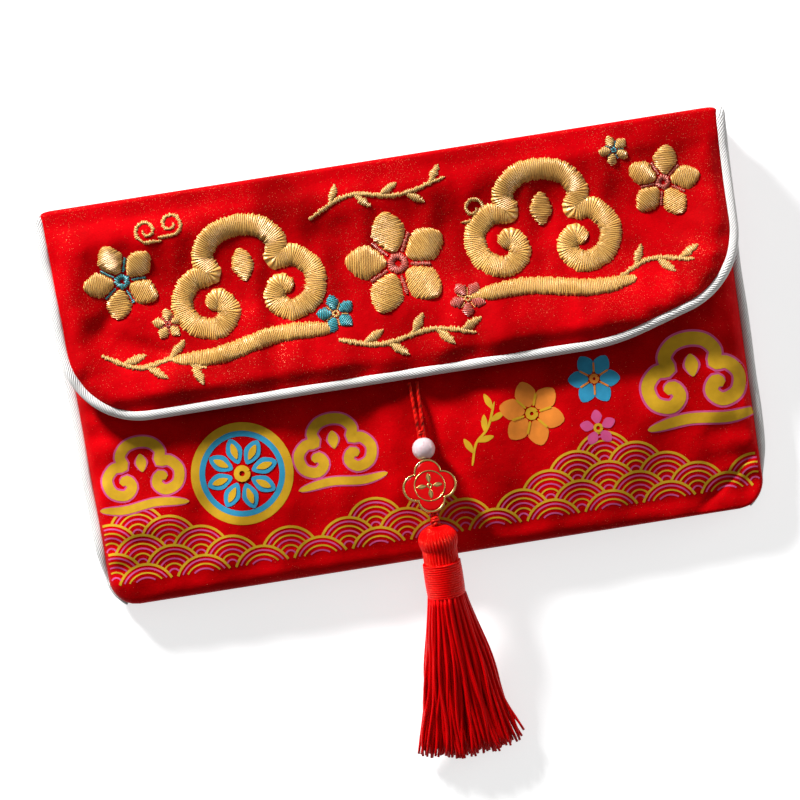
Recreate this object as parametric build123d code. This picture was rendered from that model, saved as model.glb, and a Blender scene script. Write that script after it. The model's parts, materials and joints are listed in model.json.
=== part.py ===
from build123d import *
from math import asin, atan2, cos, degrees, pi, radians, sin, sqrt, tan
import os

# A padded satin money pouch with a fold-over flap, white piping and a hanging tassel.
# It lies on its back. X runs across it, Y from the bottom edge to the top fold, Z up out of the
# front. The origin is the middle of the flat back. All sizes are in millimetres.

# Pouch
pouch_length = 114.0
mouth_half_width = 97.0
pouch_taper = 2.5
mouth_height = 18.0
foot_height = 15.0
crown_rise = 1.0
mouth_side_roll = 9.0
foot_side_roll = 6.0
bottom_roll = 8.0
back_roll = 7.4
corner_radius = 9.0
seam_height = 8.0

# Layers of the front and the back
cloth_thickness = 0.6
wadding_thickness = 1.3
lining_thickness = 0.5

# Flap and spine
flap_cloth_thickness = 0.6
flap_wadding_thickness = 1.6
flap_lining_thickness = 0.6
flap_reach = 61.6
flap_taper = 2.0
flap_left_corner = 21.0
flap_right_corner = 22.0
flap_right_slant_run = 37.0
flap_right_slant_rise = 11.2
flap_right_slant_ease = 60.0
flap_gap = 1.75

# Raised embroidery on the flap: clouds at (x, y, turn) and blossoms at (x, y, radius, turn)
# from the flap's middle, with the outer blossoms a margin in from its sides
stitch_height = 1.1
stitch_slope = 30.0
cloud_places = [(-42.0, 1.0, 5.0), (43.0, 3.5, -5.0)]
cloud_band = 6.1
cloud_crown_radius = 10.3
cloud_crown_rise = 7.3
cloud_curl_radius = 7.1
cloud_curl_offset = 12.5
cloud_curl_drop = 1.9
cloud_curl_opening = (5.0, 60.0)
cloud_eye_radius = 2.4
cloud_drop_length = 9.4
cloud_drop_width = 6.4
cloud_wisp_length = 46.0
cloud_wisp_width = 4.6
cloud_wisp_below = 16.2
left_blossom_margin = 20.0
right_blossom_margin = 18.0
blossom_places = [
    (1.0, 1.0, 15.0, 8.0),
    (left_blossom_margin - mouth_half_width, 8.0, 11.0, 20.0),
    (mouth_half_width - right_blossom_margin, 12.0, 10.5, -14.0),
]
petal_count = 5
petal_length_share = 0.78
petal_width_share = 0.66

# Piping
piping_radius = 1.5
piping_core_radius = 1.05
piping_stand = 0.9
piping_tongue = 4.0
tongue_thickness = 0.4
piping_end_turn = 55.0
floor_clearance = 0.1
crease_clearance = 0.3

# Magnets sewn into the wadding
magnet_diameter = 12.0
magnet_thickness = 1.1
magnet_from_edge = 15.0

# Cord, bead and charm
cord_diameter = 1.0
cord_spread = 2.2
cord_pair_gap = 0.04
cord_tail_length = 12.0
cord_clearance = 0.05
pivot_stand = 1.0
running_clearance = 0.3
bead_diameter = 6.5
bead_bore = 2.5
bead_from_edge = 20.2
bead_float = 0.35
bead_entry_stand = 1.0
cord_bend_share = 0.45
charm_from_bead = 10.9
charm_lobe_radius = 3.9
charm_lobe_offset = 3.8
charm_thickness = 3.4
charm_rim = 0.6
charm_bore = 2.4
enamel_depth = 0.45
knot_from_bead = 21.0
knot_radius = 1.4
knot_groove = 0.25
knot_height = 22.0

# Tassel
tassel_length = 69.6
head_start = 1.8
head_end = 11.6
head_top_radius = 1.0
head_radius = 5.5
head_widest = 0.6
head_shoulder = 0.8
head_shoulder_place = 0.36
head_tuck = 0.85
neck_radius = 4.85
band_length = 10.6
thread_diameter = 0.6
band_turns = 9
thread_gap = 0.45
skirt_backing = 1.0
skirt_root_radius = 5.2
skirt_half_width = 15.3
skirt_half_depth = 4.0
skirt_rest_height = 4.4
skirt_ragged = 2.0
strand_count = 300
strand_width = 0.3

# Places that follow from the sizes above
wall = cloth_thickness + wadding_thickness + lining_thickness
flap_thickness = flap_cloth_thickness + flap_wadding_thickness + flap_lining_thickness
flap_layers = [
    ("panel", flap_cloth_thickness),
    ("wadding", flap_wadding_thickness),
    ("lining", flap_lining_thickness),
]
foot_half_width = mouth_half_width - pouch_taper
crease_room = piping_radius + crease_clearance
top_y = pouch_length / 2
foot_y = top_y - pouch_length
crease_y = top_y - flap_thickness / 2
mouth_y = crease_y - crease_room
back_crease_z = piping_radius + floor_clearance
flap_tilt = atan2(mouth_height - foot_height, mouth_y - foot_y)
flap_rise = (flap_thickness / 2 + crease_room * sin(flap_tilt)) / cos(flap_tilt)
flap_crease_z = mouth_height + flap_gap + flap_rise
far = 2 * pouch_length


def along(y, foot, mouth):
    """Value at y of a size that changes evenly from the foot to the mouth."""
    return foot + (mouth - foot) * (y - foot_y) / (mouth_y - foot_y)


def front_height(y):
    """Height of the front's crown line at y."""
    return along(y, foot_height, mouth_height)


# The flap's own plane: its middle sheet, hung from the front crease, with Y up the flap
flap_up = (0, -sin(flap_tilt), cos(flap_tilt))
flap_plane = Plane((0, crease_y, flap_crease_z), x_dir=(1, 0, 0), z_dir=flap_up)


def arc_in_section(y, centre, radius, start, end):
    """Arc across the pouch at y, about a centre (x, z), between two angles in degrees."""
    angles = [radians(a) for a in (start, (start + end) / 2, end)]
    points = [Vector(centre[0] + radius * cos(a), y, centre[1] + radius * sin(a)) for a in angles]
    return ThreePointArc(*points)


def front_section(y, inset):
    """Outline across the front at y, drawn in by the inset: upright sides, rolled over to a crowned top."""
    w = along(y, foot_half_width, mouth_half_width)
    h = front_height(y) - crown_rise
    roll = along(y, foot_side_roll, mouth_side_roll)
    right_roll = arc_in_section(y, (w - roll, h - roll), roll - inset, 0, 90)
    left_roll = arc_in_section(y, (roll - w, h - roll), roll - inset, 90, 180)
    crown = ThreePointArc(right_roll @ 1, (0, y, h + crown_rise - inset), left_roll @ 0)
    right_wall = Line((w - inset, y, 0), right_roll @ 0)
    left_wall = Line(left_roll @ 1, (inset - w, y, 0))
    floor = Line(left_wall @ 1, right_wall @ 0)
    return Face(Wire([floor, right_wall, right_roll, crown, left_roll, left_wall]))


def bottom_roll_prism(inset):
    """Prism along X that rounds the front over its bottom edge."""
    roll_y = foot_y + bottom_roll
    roll_z = front_height(roll_y) - bottom_roll
    r = bottom_roll - inset
    half = sqrt(0.5)
    roll = ThreePointArc(
        (0, roll_y, roll_z + r),
        (0, roll_y - half * r, roll_z + half * r),
        (0, roll_y - r, roll_z),
    )
    below = (0, roll_y - r, -far)
    behind = (0, far, -far)
    above = (0, far, far)
    rest = [Line(roll @ 1, below), Line(below, behind), Line(behind, above), Line(above, roll @ 0)]
    return extrude(Face(Wire([roll] + rest)), amount=far, dir=(1, 0, 0), both=True)


def corner_cuts(inset):
    """What the rounded lower corners of the plan take away."""
    y = foot_y + corner_radius
    x = along(y, foot_half_width, mouth_half_width) - corner_radius
    block = Pos(x, y) * Box(far, far, far, align=(Align.MIN, Align.MAX, Align.CENTER))
    right = block - Pos(x, y) * Cylinder(corner_radius - inset, far)
    return [right, mirror(right, about=Plane.YZ)]


def front_form(inset):
    """Stuffed form of the front, drawn in by the inset, run on past the mouth."""
    body = loft([front_section(foot_y, inset), front_section(mouth_y + wall, inset)], ruled=True)
    return (body & bottom_roll_prism(inset)) - corner_cuts(inset)


def back_form(inset):
    """Form of the back, drawn in by the inset: a flat plan with rolled lower edges, run on past the mouth."""
    end_y = mouth_y + wall
    end_half = along(end_y, foot_half_width, mouth_half_width) - inset
    foot_half = foot_half_width - inset
    low_y = foot_y + inset
    corners = [(-foot_half, low_y), (foot_half, low_y), (end_half, end_y), (-end_half, end_y)]
    plan = Polygon(*corners, align=None)
    plan = fillet(plan.vertices().sort_by(Axis.Y)[:2], corner_radius - inset)
    block = Pos(0, 0, inset) * extrude(plan, amount=2 * seam_height)
    lower_edges = block.faces().sort_by(Axis.Z)[0].edges().sort_by(Axis.Y)[:-1]
    return fillet(lower_edges, back_roll - inset)


def piping(path, outward, tongue):
    """Piping on a path: cover with its seam tongue, core, and the room that both take."""
    plane = Plane(path @ 0, x_dir=outward, z_dir=path % 0)
    strip = Pos(-tongue / 2, 0) * Rectangle(tongue, tongue_thickness)
    full = sweep(plane * (Circle(piping_radius) + strip), path=path)
    core = sweep(plane * Circle(piping_core_radius), path=path)
    return full - core, core, full


def between(low_z, high_z):
    """Block that keeps what lies between two heights and below the mouth."""
    block = Box(far, far, high_z - low_z, align=(Align.CENTER, Align.MAX, Align.MIN))
    return Pos(0, mouth_y, low_z) * block


nodes = {}

# Front and back: three layers each, parted at the side seam
insets = (0, cloth_thickness, cloth_thickness + wadding_thickness, wall)
front_forms = [front_form(inset) for inset in insets]
back_forms = [back_form(inset) for inset in insets]
upper = between(seam_height, mouth_height * 2)
lower = between(-mouth_height, seam_height)

# Piping in the side seams, bent inwards round the lower corners
side_start = Vector(mouth_half_width + piping_stand, mouth_y, seam_height)
corner_y = foot_y + corner_radius
corner_x = along(corner_y, foot_half_width, mouth_half_width)
side_end = Vector(corner_x + piping_stand, corner_y, seam_height)
side_run = Line(side_start, side_end)
side_bend = JernArc(side_end, side_run % 1, corner_radius + piping_stand, -piping_end_turn)
side_path = Wire([side_run, side_bend])
right_cover, right_core, right_room = piping(side_path, (1, 0, 0), piping_stand + piping_tongue)
right_side = (right_cover, right_core, right_room)
left_cover, left_core, left_room = [mirror(s, about=Plane.YZ) for s in right_side]
for side, forms, half in (("front", front_forms, upper), ("back", back_forms, lower)):
    for depth, layer in enumerate(("panel", "wadding", "lining")):
        shell = (forms[depth] - forms[depth + 1]) & half
        nodes[f"{side}_{layer}"] = shell - [right_room, left_room]
nodes["right_piping_cover"] = right_cover
nodes["left_piping_cover"] = left_cover
nodes["right_piping_core"] = right_core
nodes["left_piping_core"] = left_core

# Spine: an upright strip with round ends on the two creases
spine_rise = flap_crease_z - back_crease_z
spine_outline = Pos(crease_y, (flap_crease_z + back_crease_z) / 2) * Rot(0, 0, 90) * SlotCenterToCenter(
    spine_rise, flap_thickness
)
spine = extrude(Plane.YZ * spine_outline, amount=mouth_half_width, both=True)
spine_pin = Pos(mouth_half_width + piping_stand, crease_y, back_crease_z) * Cylinder(
    piping_radius, spine_rise, align=(Align.CENTER, Align.CENTER, Align.MIN)
)
spine_ends = [Pos(mouth_half_width + piping_stand, crease_y, z) for z in (back_crease_z, flap_crease_z)]
spine_tongue = Pos(mouth_half_width + piping_stand, crease_y, back_crease_z) * Box(
    piping_stand + piping_tongue, tongue_thickness, spine_rise, align=(Align.MAX, Align.CENTER, Align.MIN)
)
spine_core = Pos(mouth_half_width + piping_stand, crease_y, back_crease_z) * Cylinder(
    piping_core_radius, spine_rise, align=(Align.CENTER, Align.CENTER, Align.MIN)
)
spine_core = spine_core + [end * Sphere(piping_core_radius) for end in spine_ends]
spine_room = spine_pin + [spine_tongue] + [end * Sphere(piping_radius) for end in spine_ends]
spine_cover = spine_room - spine_core
spine_body = spine - [spine_room, mirror(spine_room, about=Plane.YZ)]
outer_face = top_y
for layer, depth in flap_layers:
    slab = Pos(0, outer_face, 0) * Box(far, depth, far, align=(Align.CENTER, Align.MAX, Align.CENTER))
    nodes[f"spine_{layer}"] = spine_body & slab
    outer_face -= depth
nodes["spine_piping_cover"] = Compound([spine_cover, mirror(spine_cover, about=Plane.YZ)])
nodes["spine_piping_core"] = Compound([spine_core, mirror(spine_core, about=Plane.YZ)])

# Flap: three flat layers with rounded lower corners, and piping round the free edge
flap_edge = flap_reach - piping_radius - piping_stand
flap_low_half = mouth_half_width - flap_taper


def flap_corners(stand):
    """Corners of the flap from the left crease round to the right one, let out by a stand."""
    top = mouth_half_width + stand
    low = flap_low_half + stand
    return [
        (-top, -crease_room),
        (-low, -flap_edge - stand),
        (flap_low_half - flap_right_slant_run, -flap_edge - stand),
        (low, flap_right_slant_rise - flap_edge - stand),
        (top, -crease_room),
    ]


def flap_radii(stand):
    """Radii of the flap's left corner, the start of its right slant and its right corner."""
    return [flap_left_corner + stand, flap_right_slant_ease + stand, flap_right_corner + stand]


def ring(radius):
    """Band of the clouds' width on a circle."""
    return Circle(radius + cloud_band / 2) - Circle(radius - cloud_band / 2)


def cloud():
    """Cloud head of a crown and two curls, with a drop inside it and a wisp below."""
    upper_half = Rectangle(far, far, align=(Align.CENTER, Align.MIN))
    crown = Pos(0, cloud_crown_rise) * (ring(cloud_crown_radius) & upper_half)
    rays = [(far * cos(radians(a)), far * sin(radians(a))) for a in cloud_curl_opening]
    eye = Pos(cloud_eye_radius / 3, -cloud_eye_radius / 3) * Circle(cloud_eye_radius)
    curl = ring(cloud_curl_radius) - Polygon((0, 0), *rays, align=None)
    left = Pos(-cloud_curl_offset, -cloud_curl_drop) * Sketch(children=[*curl.faces(), *eye.faces()])
    drop = Pos(0, cloud_crown_rise - cloud_band / 4) * Ellipse(cloud_drop_width / 2, cloud_drop_length / 2)
    wisp = Pos(0, -cloud_wisp_below) * SlotOverall(cloud_wisp_length, cloud_wisp_width)
    return (crown + [left, mirror(left, about=Plane.YZ), drop, wisp]).faces()


def blossom(radius):
    """Ring of leaf-shaped petals that end at a radius."""
    length = petal_length_share * radius
    petal = Pos(0, radius - length / 2) * Ellipse(petal_width_share * radius / 2, length / 2)
    return [Rot(0, 0, 360 * k / petal_count) * petal.face() for k in range(petal_count)]


def raised(face):
    """Satin stitch over a face of the flap's middle: a low pad with sloping sides."""
    base = Pos(0, -flap_edge / 2, flap_thickness / 2) * face
    return extrude(base, amount=stitch_height, dir=(0, 0, 1), taper=stitch_slope)


flap_line = FilletPolyline(*flap_corners(0), radius=flap_radii(0))
flap_outline = make_face(Wire(flap_line.edges() + [Line(flap_line @ 1, flap_line @ 0)]))
flap_path = FilletPolyline(*flap_corners(piping_stand), radius=flap_radii(piping_stand))
flap_cover, flap_core, flap_room = piping(flap_path, (-1, 0, 0), piping_stand + piping_tongue)
magnet_disc = Cylinder(magnet_diameter / 2, magnet_thickness)
flap_magnet = Pos(0, magnet_from_edge - flap_reach, 0) * magnet_disc
flap_sheets = {}
level = flap_thickness / 2
for layer, depth in flap_layers:
    level -= depth
    sheet = Pos(0, 0, level) * extrude(flap_outline, amount=depth)
    flap_sheets[layer] = sheet - [flap_room, flap_magnet]
stitches = [raised(Pos(x, y) * Rot(0, 0, a) * face) for x, y, a in cloud_places for face in cloud()]
stitches += [raised(Pos(x, y) * Rot(0, 0, a) * face) for x, y, r, a in blossom_places for face in blossom(r)]
flap_sheets["panel"] = flap_sheets["panel"] + stitches
for layer, sheet in flap_sheets.items():
    nodes[f"flap_{layer}"] = flap_plane * sheet
nodes["flap_piping_cover"] = flap_plane * flap_cover
nodes["flap_piping_core"] = flap_plane * flap_core
nodes["flap_magnet"] = flap_plane * flap_magnet

# The front's magnet faces the flap's one
magnet_y = (flap_plane * Pos(0, magnet_from_edge - flap_reach, 0)).position.Y
magnet_depth = cloth_thickness + wadding_thickness / 2
front_plane = Plane((0, magnet_y, front_height(magnet_y)), x_dir=(1, 0, 0), z_dir=flap_plane.z_dir)
nodes["front_magnet"] = front_plane * Pos(0, 0, -magnet_depth) * magnet_disc
nodes["front_wadding"] = nodes["front_wadding"] - nodes["front_magnet"]

# Cord ends, sewn flat under the flap
cord_radius = cord_diameter / 2
pivot_depth = piping_radius + cord_clearance + cord_radius
pivot_down = flap_reach + pivot_stand
tail_end = pivot_down - cord_radius - running_clearance
tail = Pos(cord_spread / 2, -tail_end, -pivot_depth) * Rot(-90, 0, 0) * Cylinder(
    cord_radius, cord_tail_length, align=(Align.CENTER, Align.CENTER, Align.MIN)
)
tails = flap_plane * tail
nodes["cord_tails"] = Compound([tails, mirror(tails, about=Plane.YZ)])

# Pendant line: from the pivot under the flap's edge through the bead, then straight to the knot
pivot = (flap_plane * Pos(0, -pivot_down, -pivot_depth)).position
edge_y = (flap_plane * Pos(0, -flap_reach, 0)).position.Y
bead_y = edge_y - bead_from_edge
bead = Vector(0, bead_y, front_height(bead_y) + bead_float + bead_diameter / 2)
climb = asin((knot_height - bead.Z) / knot_from_bead)
hang = Vector(0, -cos(climb), sin(climb))
knot = bead + hang * knot_from_bead
charm = bead + hang * charm_from_bead

# Two cord strands side by side, from the pivot through bead and charm to the knot
pair_offset = (cord_diameter + cord_pair_gap) / 2
bead_entry = bead - hang * (bead_diameter / 2 + bead_entry_stand)
cord_end = knot - hang * (knot_radius + running_clearance)
cord_points = [
    pivot + Vector(cord_spread / 2, 0, 0),
    bead_entry + Vector(pair_offset, 0, 0),
    cord_end + Vector(pair_offset, 0, 0),
]
first_run = cord_points[1] - cord_points[0]
second_run = cord_points[2] - cord_points[1]
cord_turn = radians(first_run.get_angle(second_run))
cord_bend = cord_bend_share * min(first_run.length, second_run.length) / tan(cord_turn / 2)
cord_path = FilletPolyline(*cord_points, radius=[cord_bend])
strand = sweep(Plane(cord_path @ 0, z_dir=cord_path % 0) * Circle(cord_radius), path=cord_path)
strand_share = strand.volume / (pi * cord_radius**2 * cord_path.length)
strand = strand + Pos(cord_points[0]) * Sphere(cord_radius)
nodes["hang_cord"] = Compound([strand, mirror(strand, about=Plane.YZ)])
print(f"hang cord: bend radius {cord_bend:.0f} mm, volume is {strand_share:.4f} of section times length")

# Bead and charm, both bored along the pendant line
pendant_plane = Plane(bead, x_dir=(1, 0, 0), z_dir=hang)
bead_hole = Cylinder(bead_bore / 2, knot_from_bead)
nodes["pearl_bead"] = pendant_plane * (Sphere(bead_diameter / 2) - bead_hole)
charm_plane = Plane(charm, x_dir=(1, 0, 0), z_dir=(0, sin(climb), cos(climb)))


def four_lobes(inset):
    """Outline of four round lobes about a square, drawn in by the inset."""
    places = [(1, 0), (0, 1), (-1, 0), (0, -1)]
    lobe = Circle(charm_lobe_radius - inset)
    lobes = [Pos(charm_lobe_offset * x, charm_lobe_offset * y) * lobe for x, y in places]
    side = 2 * (charm_lobe_offset - inset)
    return Rectangle(side, side) + lobes


charm_bore_hole = Rot(90, 0, 0) * SlotOverall(charm_bore, cord_diameter + running_clearance)
charm_hole = extrude(charm_bore_hole, amount=knot_from_bead, both=True)
charm_blank = extrude(four_lobes(0), amount=charm_thickness / 2, both=True)
enamel_sheet = extrude(four_lobes(charm_rim), amount=enamel_depth)
enamel = Pos(0, 0, charm_thickness / 2 - enamel_depth) * enamel_sheet
enamel_back = mirror(enamel, about=Plane.XY)
nodes["charm_frame"] = charm_plane * (charm_blank - [enamel, enamel_back, charm_hole])
nodes["charm_enamel_front"] = charm_plane * enamel
nodes["charm_enamel_back"] = charm_plane * enamel_back

# Knot: a round lump with two grooves between the wraps of the cord
groove_place = knot_radius / 3
groove_ring = Torus(sqrt(knot_radius**2 - groove_place**2), knot_groove)
knot_rings = [Pos(0, 0, z) * groove_ring for z in (-groove_place, groove_place)]
nodes["cord_knot"] = pendant_plane * Pos(0, 0, knot_from_bead) * (Sphere(knot_radius) - knot_rings)

# Tassel: its own line leaves the knot and comes down to the surface that the pouch lies on
tassel_fall = asin((knot.Z - skirt_rest_height) / tassel_length)
tassel_plane = Plane(knot, x_dir=(1, 0, 0), z_dir=(0, -cos(tassel_fall), -sin(tassel_fall)))
head_waist = head_start + head_widest * (head_end - head_start)
dome = ThreePointArc(
    (head_top_radius, 0, head_start),
    (head_radius * head_shoulder, 0, head_start + head_shoulder_place * (head_waist - head_start)),
    (head_radius, 0, head_waist),
)
tuck = ThreePointArc(
    dome @ 1,
    (neck_radius + head_tuck * (head_radius - neck_radius), 0, (head_waist + head_end) / 2),
    (neck_radius, 0, head_end),
)
head_outline = Wire(
    [
        Line((0, 0, head_start), dome @ 0),
        dome,
        tuck,
        Line(tuck @ 1, (0, 0, head_end)),
        Line((0, 0, head_end), (0, 0, head_start)),
    ]
)
nodes["tassel_head"] = tassel_plane * revolve(Face(head_outline), axis=Axis.Z)
skirt_start = head_end + band_length
neck = Pos(0, 0, head_end) * Cylinder(
    neck_radius, band_length, align=(Align.CENTER, Align.CENTER, Align.MIN)
)
nodes["tassel_neck"] = tassel_plane * neck

# Band: one thread wound round the neck, in half turns of two arcs each
winding_radius = neck_radius + cord_clearance + thread_diameter / 2
winding_pitch = thread_diameter + thread_gap
winding_start = head_end + (band_length - band_turns * winding_pitch) / 2


def winding_point(turn):
    """Point and heading of the thread's middle after a number of turns."""
    a = 2 * pi * turn
    rise = winding_pitch / (2 * pi)
    height = winding_start + winding_pitch * turn
    point = Vector(winding_radius * cos(a), winding_radius * sin(a), height)
    return point, Vector(-winding_radius * sin(a), winding_radius * cos(a), rise).normalized()


def two_arcs(start, heading, end, end_heading):
    """Two arcs that leave along one heading, arrive along another and meet smoothly."""
    chord = end - start
    both = heading + end_heading
    a = 2 * (1 - heading.dot(end_heading))
    b = 2 * chord.dot(both)
    reach = (-b + sqrt(b * b + 4 * a * chord.dot(chord))) / (2 * a)
    first = start + heading * reach
    last = end - end_heading * reach
    middle = (first + last) / 2
    return [
        TangentArc(start, middle, tangent=heading),
        TangentArc(middle, end, tangent=last - first),
    ]


half_turns = [winding_point(i / 2) for i in range(2 * band_turns + 1)]
first_point, first_heading = half_turns[0]
last_point, last_heading = half_turns[-1]
winding_edges = [Line(first_point - first_heading * thread_diameter, first_point)]
for (p, u), (q, v) in zip(half_turns, half_turns[1:]):
    winding_edges += two_arcs(p, u, q, v)
winding_edges.append(Line(last_point, last_point + last_heading * thread_diameter))
winding_path = Wire(winding_edges)
thread_start = Plane(winding_path @ 0, x_dir=(0, 0, 1), z_dir=winding_path % 0)
band = sweep(thread_start * RegularPolygon(thread_diameter / 2, 6), path=winding_path)
nodes["tassel_band"] = tassel_plane * band
turn_samples = 40
samples = turn_samples * band_turns
winding_points = [winding_path @ (i / samples) for i in range(samples + 1)]
apart = min(
    (winding_points[i] - winding_points[j]).length
    for i in range(samples)
    for j in range(i + turn_samples // 2, min(i + 2 * turn_samples, samples + 1))
)
print(f"tassel band: least gap of the thread to itself {apart - thread_diameter:.2f} mm")

# Skirt: straight strands that fan out from a round root, on a map that keeps them from crossing
backing = Pos(0, 0, skirt_start) * Cylinder(
    skirt_root_radius, skirt_backing, align=(Align.CENTER, Align.CENTER, Align.MIN)
)
golden_turn = pi * (3 - sqrt(5))
strand_reach = skirt_root_radius - strand_width
strands = []
for i in range(strand_count):
    r = strand_reach * sqrt((i + 0.5) / strand_count)
    x = r * cos(i * golden_turn)
    y = r * sin(i * golden_turn)
    length = tassel_length - skirt_start - skirt_backing - skirt_ragged * (i * golden_turn % 1)
    spread = length / (tassel_length - skirt_start - skirt_backing)
    tip_x = x * (skirt_half_width / strand_reach - 1) * spread
    tip_y = y * (skirt_half_depth / strand_reach - 1) * spread
    root = Pos(x, y, skirt_start + skirt_backing) * Rectangle(strand_width, strand_width)
    strands.append(Solid.extrude(root.face(), Vector(tip_x, tip_y, length)))
nodes["tassel_skirt"] = tassel_plane * (backing + strands)

os.makedirs("parts", exist_ok=True)
for name, shape in nodes.items():
    export_step(shape, f"parts/{name}.step")
print(f"{len(nodes)} nodes")
for place, point in (("pivot", pivot), ("bead", bead), ("knot", knot)):
    print(f"{place} at {tuple(round(v, 3) for v in point)}")
print(f"tassel falls {degrees(tassel_fall):.2f} degrees, pendant climbs {degrees(climb):.2f} degrees")
print(f"creases at y {crease_y:.3f}, z {back_crease_z:.3f} and {flap_crease_z:.3f}")
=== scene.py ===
"""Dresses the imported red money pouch: padded satin, embroidery, white piping, cord, bead, charm and tassel.

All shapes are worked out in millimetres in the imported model's frame (X across the pouch, Y from the bottom
edge to the top fold, Z up out of the front) and written to the meshes in metres.
"""

import json
import logging
from abc import ABC, abstractmethod
from collections.abc import Callable
from dataclasses import dataclass, field, replace
from enum import Enum

import bmesh
import bpy
import numpy as np
from mathutils import Matrix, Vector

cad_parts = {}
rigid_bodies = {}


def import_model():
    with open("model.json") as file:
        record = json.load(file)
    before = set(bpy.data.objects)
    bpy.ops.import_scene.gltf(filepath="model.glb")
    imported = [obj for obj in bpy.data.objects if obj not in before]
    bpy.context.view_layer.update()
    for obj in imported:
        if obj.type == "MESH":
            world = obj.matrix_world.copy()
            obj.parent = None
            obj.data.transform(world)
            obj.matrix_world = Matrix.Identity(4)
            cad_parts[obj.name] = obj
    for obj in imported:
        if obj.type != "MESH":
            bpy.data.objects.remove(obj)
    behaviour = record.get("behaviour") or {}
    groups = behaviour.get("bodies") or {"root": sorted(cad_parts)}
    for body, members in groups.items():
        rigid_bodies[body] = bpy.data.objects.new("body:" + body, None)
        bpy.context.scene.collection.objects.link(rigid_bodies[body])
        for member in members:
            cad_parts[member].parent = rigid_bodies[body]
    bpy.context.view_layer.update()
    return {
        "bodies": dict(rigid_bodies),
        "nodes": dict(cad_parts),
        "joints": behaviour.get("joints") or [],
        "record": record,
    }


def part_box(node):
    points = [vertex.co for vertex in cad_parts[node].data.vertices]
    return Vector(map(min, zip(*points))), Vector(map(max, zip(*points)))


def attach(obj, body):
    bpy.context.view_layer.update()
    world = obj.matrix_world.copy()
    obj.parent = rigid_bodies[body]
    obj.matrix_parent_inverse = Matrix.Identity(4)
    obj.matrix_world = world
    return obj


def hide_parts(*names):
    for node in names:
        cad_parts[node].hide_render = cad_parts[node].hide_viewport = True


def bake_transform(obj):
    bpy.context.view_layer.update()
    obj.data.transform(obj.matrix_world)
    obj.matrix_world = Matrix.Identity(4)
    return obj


LOG = logging.getLogger("money_pouch")
MM = 0.001
ACROSS = np.array([1.0, 0.0, 0.0])
UPWARD = np.array([0.0, 0.0, 1.0])
FULL_TURN = 2 * np.pi
SIDES = (("left", -1.0), ("right", 1.0))

Array = np.ndarray
Spot = tuple[float, float]
Triple = tuple[float, float, float]
Material = bpy.types.Material
Piece = bpy.types.Object
Socket = bpy.types.NodeSocket


class Slot(Enum):
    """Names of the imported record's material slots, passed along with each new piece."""

    FRONT = "printed_satin"
    FLAP = "glitter_satin"
    PIPING = "white_twill"
    CORD = "red_cord"
    PEARL = "pearl"
    GILT = "gilt_metal"
    ENAMEL = "red_enamel"
    SILK = "tassel_silk"


class Thread(Enum):
    """Colours of embroidery thread and of print, as linear values."""

    GOLD = (1.00, 0.61, 0.16)
    PALE_GOLD = (1.00, 0.67, 0.23)
    CYAN = (0.05, 0.46, 0.62)
    CORAL = (0.72, 0.16, 0.13)
    PRINT_GOLD = (0.66, 0.37, 0.018)
    PRINT_PINK = (0.66, 0.085, 0.25)
    PRINT_BLUE = (0.035, 0.30, 0.50)
    PRINT_ORANGE = (0.80, 0.24, 0.03)


def smooth(value: Array, low: float, high: float) -> Array:
    """Smooth step of a value: 3t^2 - 2t^3 of its clipped share t of the way from low to high."""
    t = np.clip((value - low) / (high - low), 0.0, 1.0)
    return t * t * (3.0 - 2.0 * t)


def bell(value: Array, width: float) -> Array:
    """Bell curve of a value: 1 at zero and 1/e at the width."""
    return np.exp(-((value / width) ** 2))


def rounded(share: Array) -> Array:
    """Quarter round at a share of the way in from its edge: 0 at the edge, 1 from a share of 1 on."""
    return np.sqrt(1 - (1 - np.clip(share, 0, 1)) ** 2)


def crowded(count: int) -> Array:
    """Places from -1 to 1, closer together towards both ends: the mean of an even and a sine spacing."""
    even = np.linspace(-1, 1, count)
    return 0.5 * np.sin(even * np.pi / 2) + 0.5 * even


def gathers(run: Array, pitch: float, sway: float, stretch: float, shift: Array | float = 0.0) -> Array:
    """Uneven gathers along a seam: a sine whose phase sways over a longer stretch, plus a shift."""
    return np.sin(run / pitch + sway * np.sin(run / stretch) + shift)


def joined(*parts: Array | float) -> Array:
    """Points from their coordinates, each spread to the shape that all share."""
    return np.stack(np.broadcast_arrays(*parts), -1)


def ripples(x: Array, y: Array, length: float, seed: int, waves: int = 9) -> Array:
    """Soft uneven bulges: a sum of sine waves in random directions.

    Args:
        x: First coordinate.
        y: Second coordinate.
        length: Mean wave length, in the units of x and y.
        seed: Seed of the directions and phases.
        waves: How many waves are added up.

    Returns:
        Heights of about -1 to 1.
    """
    rng = np.random.default_rng(seed)
    angle = rng.uniform(0, np.pi, waves)
    turn = FULL_TURN / (length * rng.uniform(0.6, 1.6, waves))
    phase = rng.uniform(0, FULL_TURN, waves)
    along = x[..., None] * np.cos(angle) + y[..., None] * np.sin(angle)
    return np.sin(along * turn + phase).sum(-1) / np.sqrt(2 * waves)


def run_along(points: Array) -> Array:
    """Length of a polyline from its start up to each of its points."""
    return np.concatenate([[0.0], np.cumsum(np.linalg.norm(np.diff(points, axis=0), axis=1))])


def resample(points: Array, count: int) -> Array:
    """Spreads a number of points evenly along a polyline.

    Args:
        points: Corner points, one a row.
        count: Number of points wanted.

    Returns:
        The points, evenly spaced along the line.
    """
    run = run_along(points)
    places = np.linspace(0, run[-1], count)
    return np.stack([np.interp(places, run, column) for column in points.T], axis=1)


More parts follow.
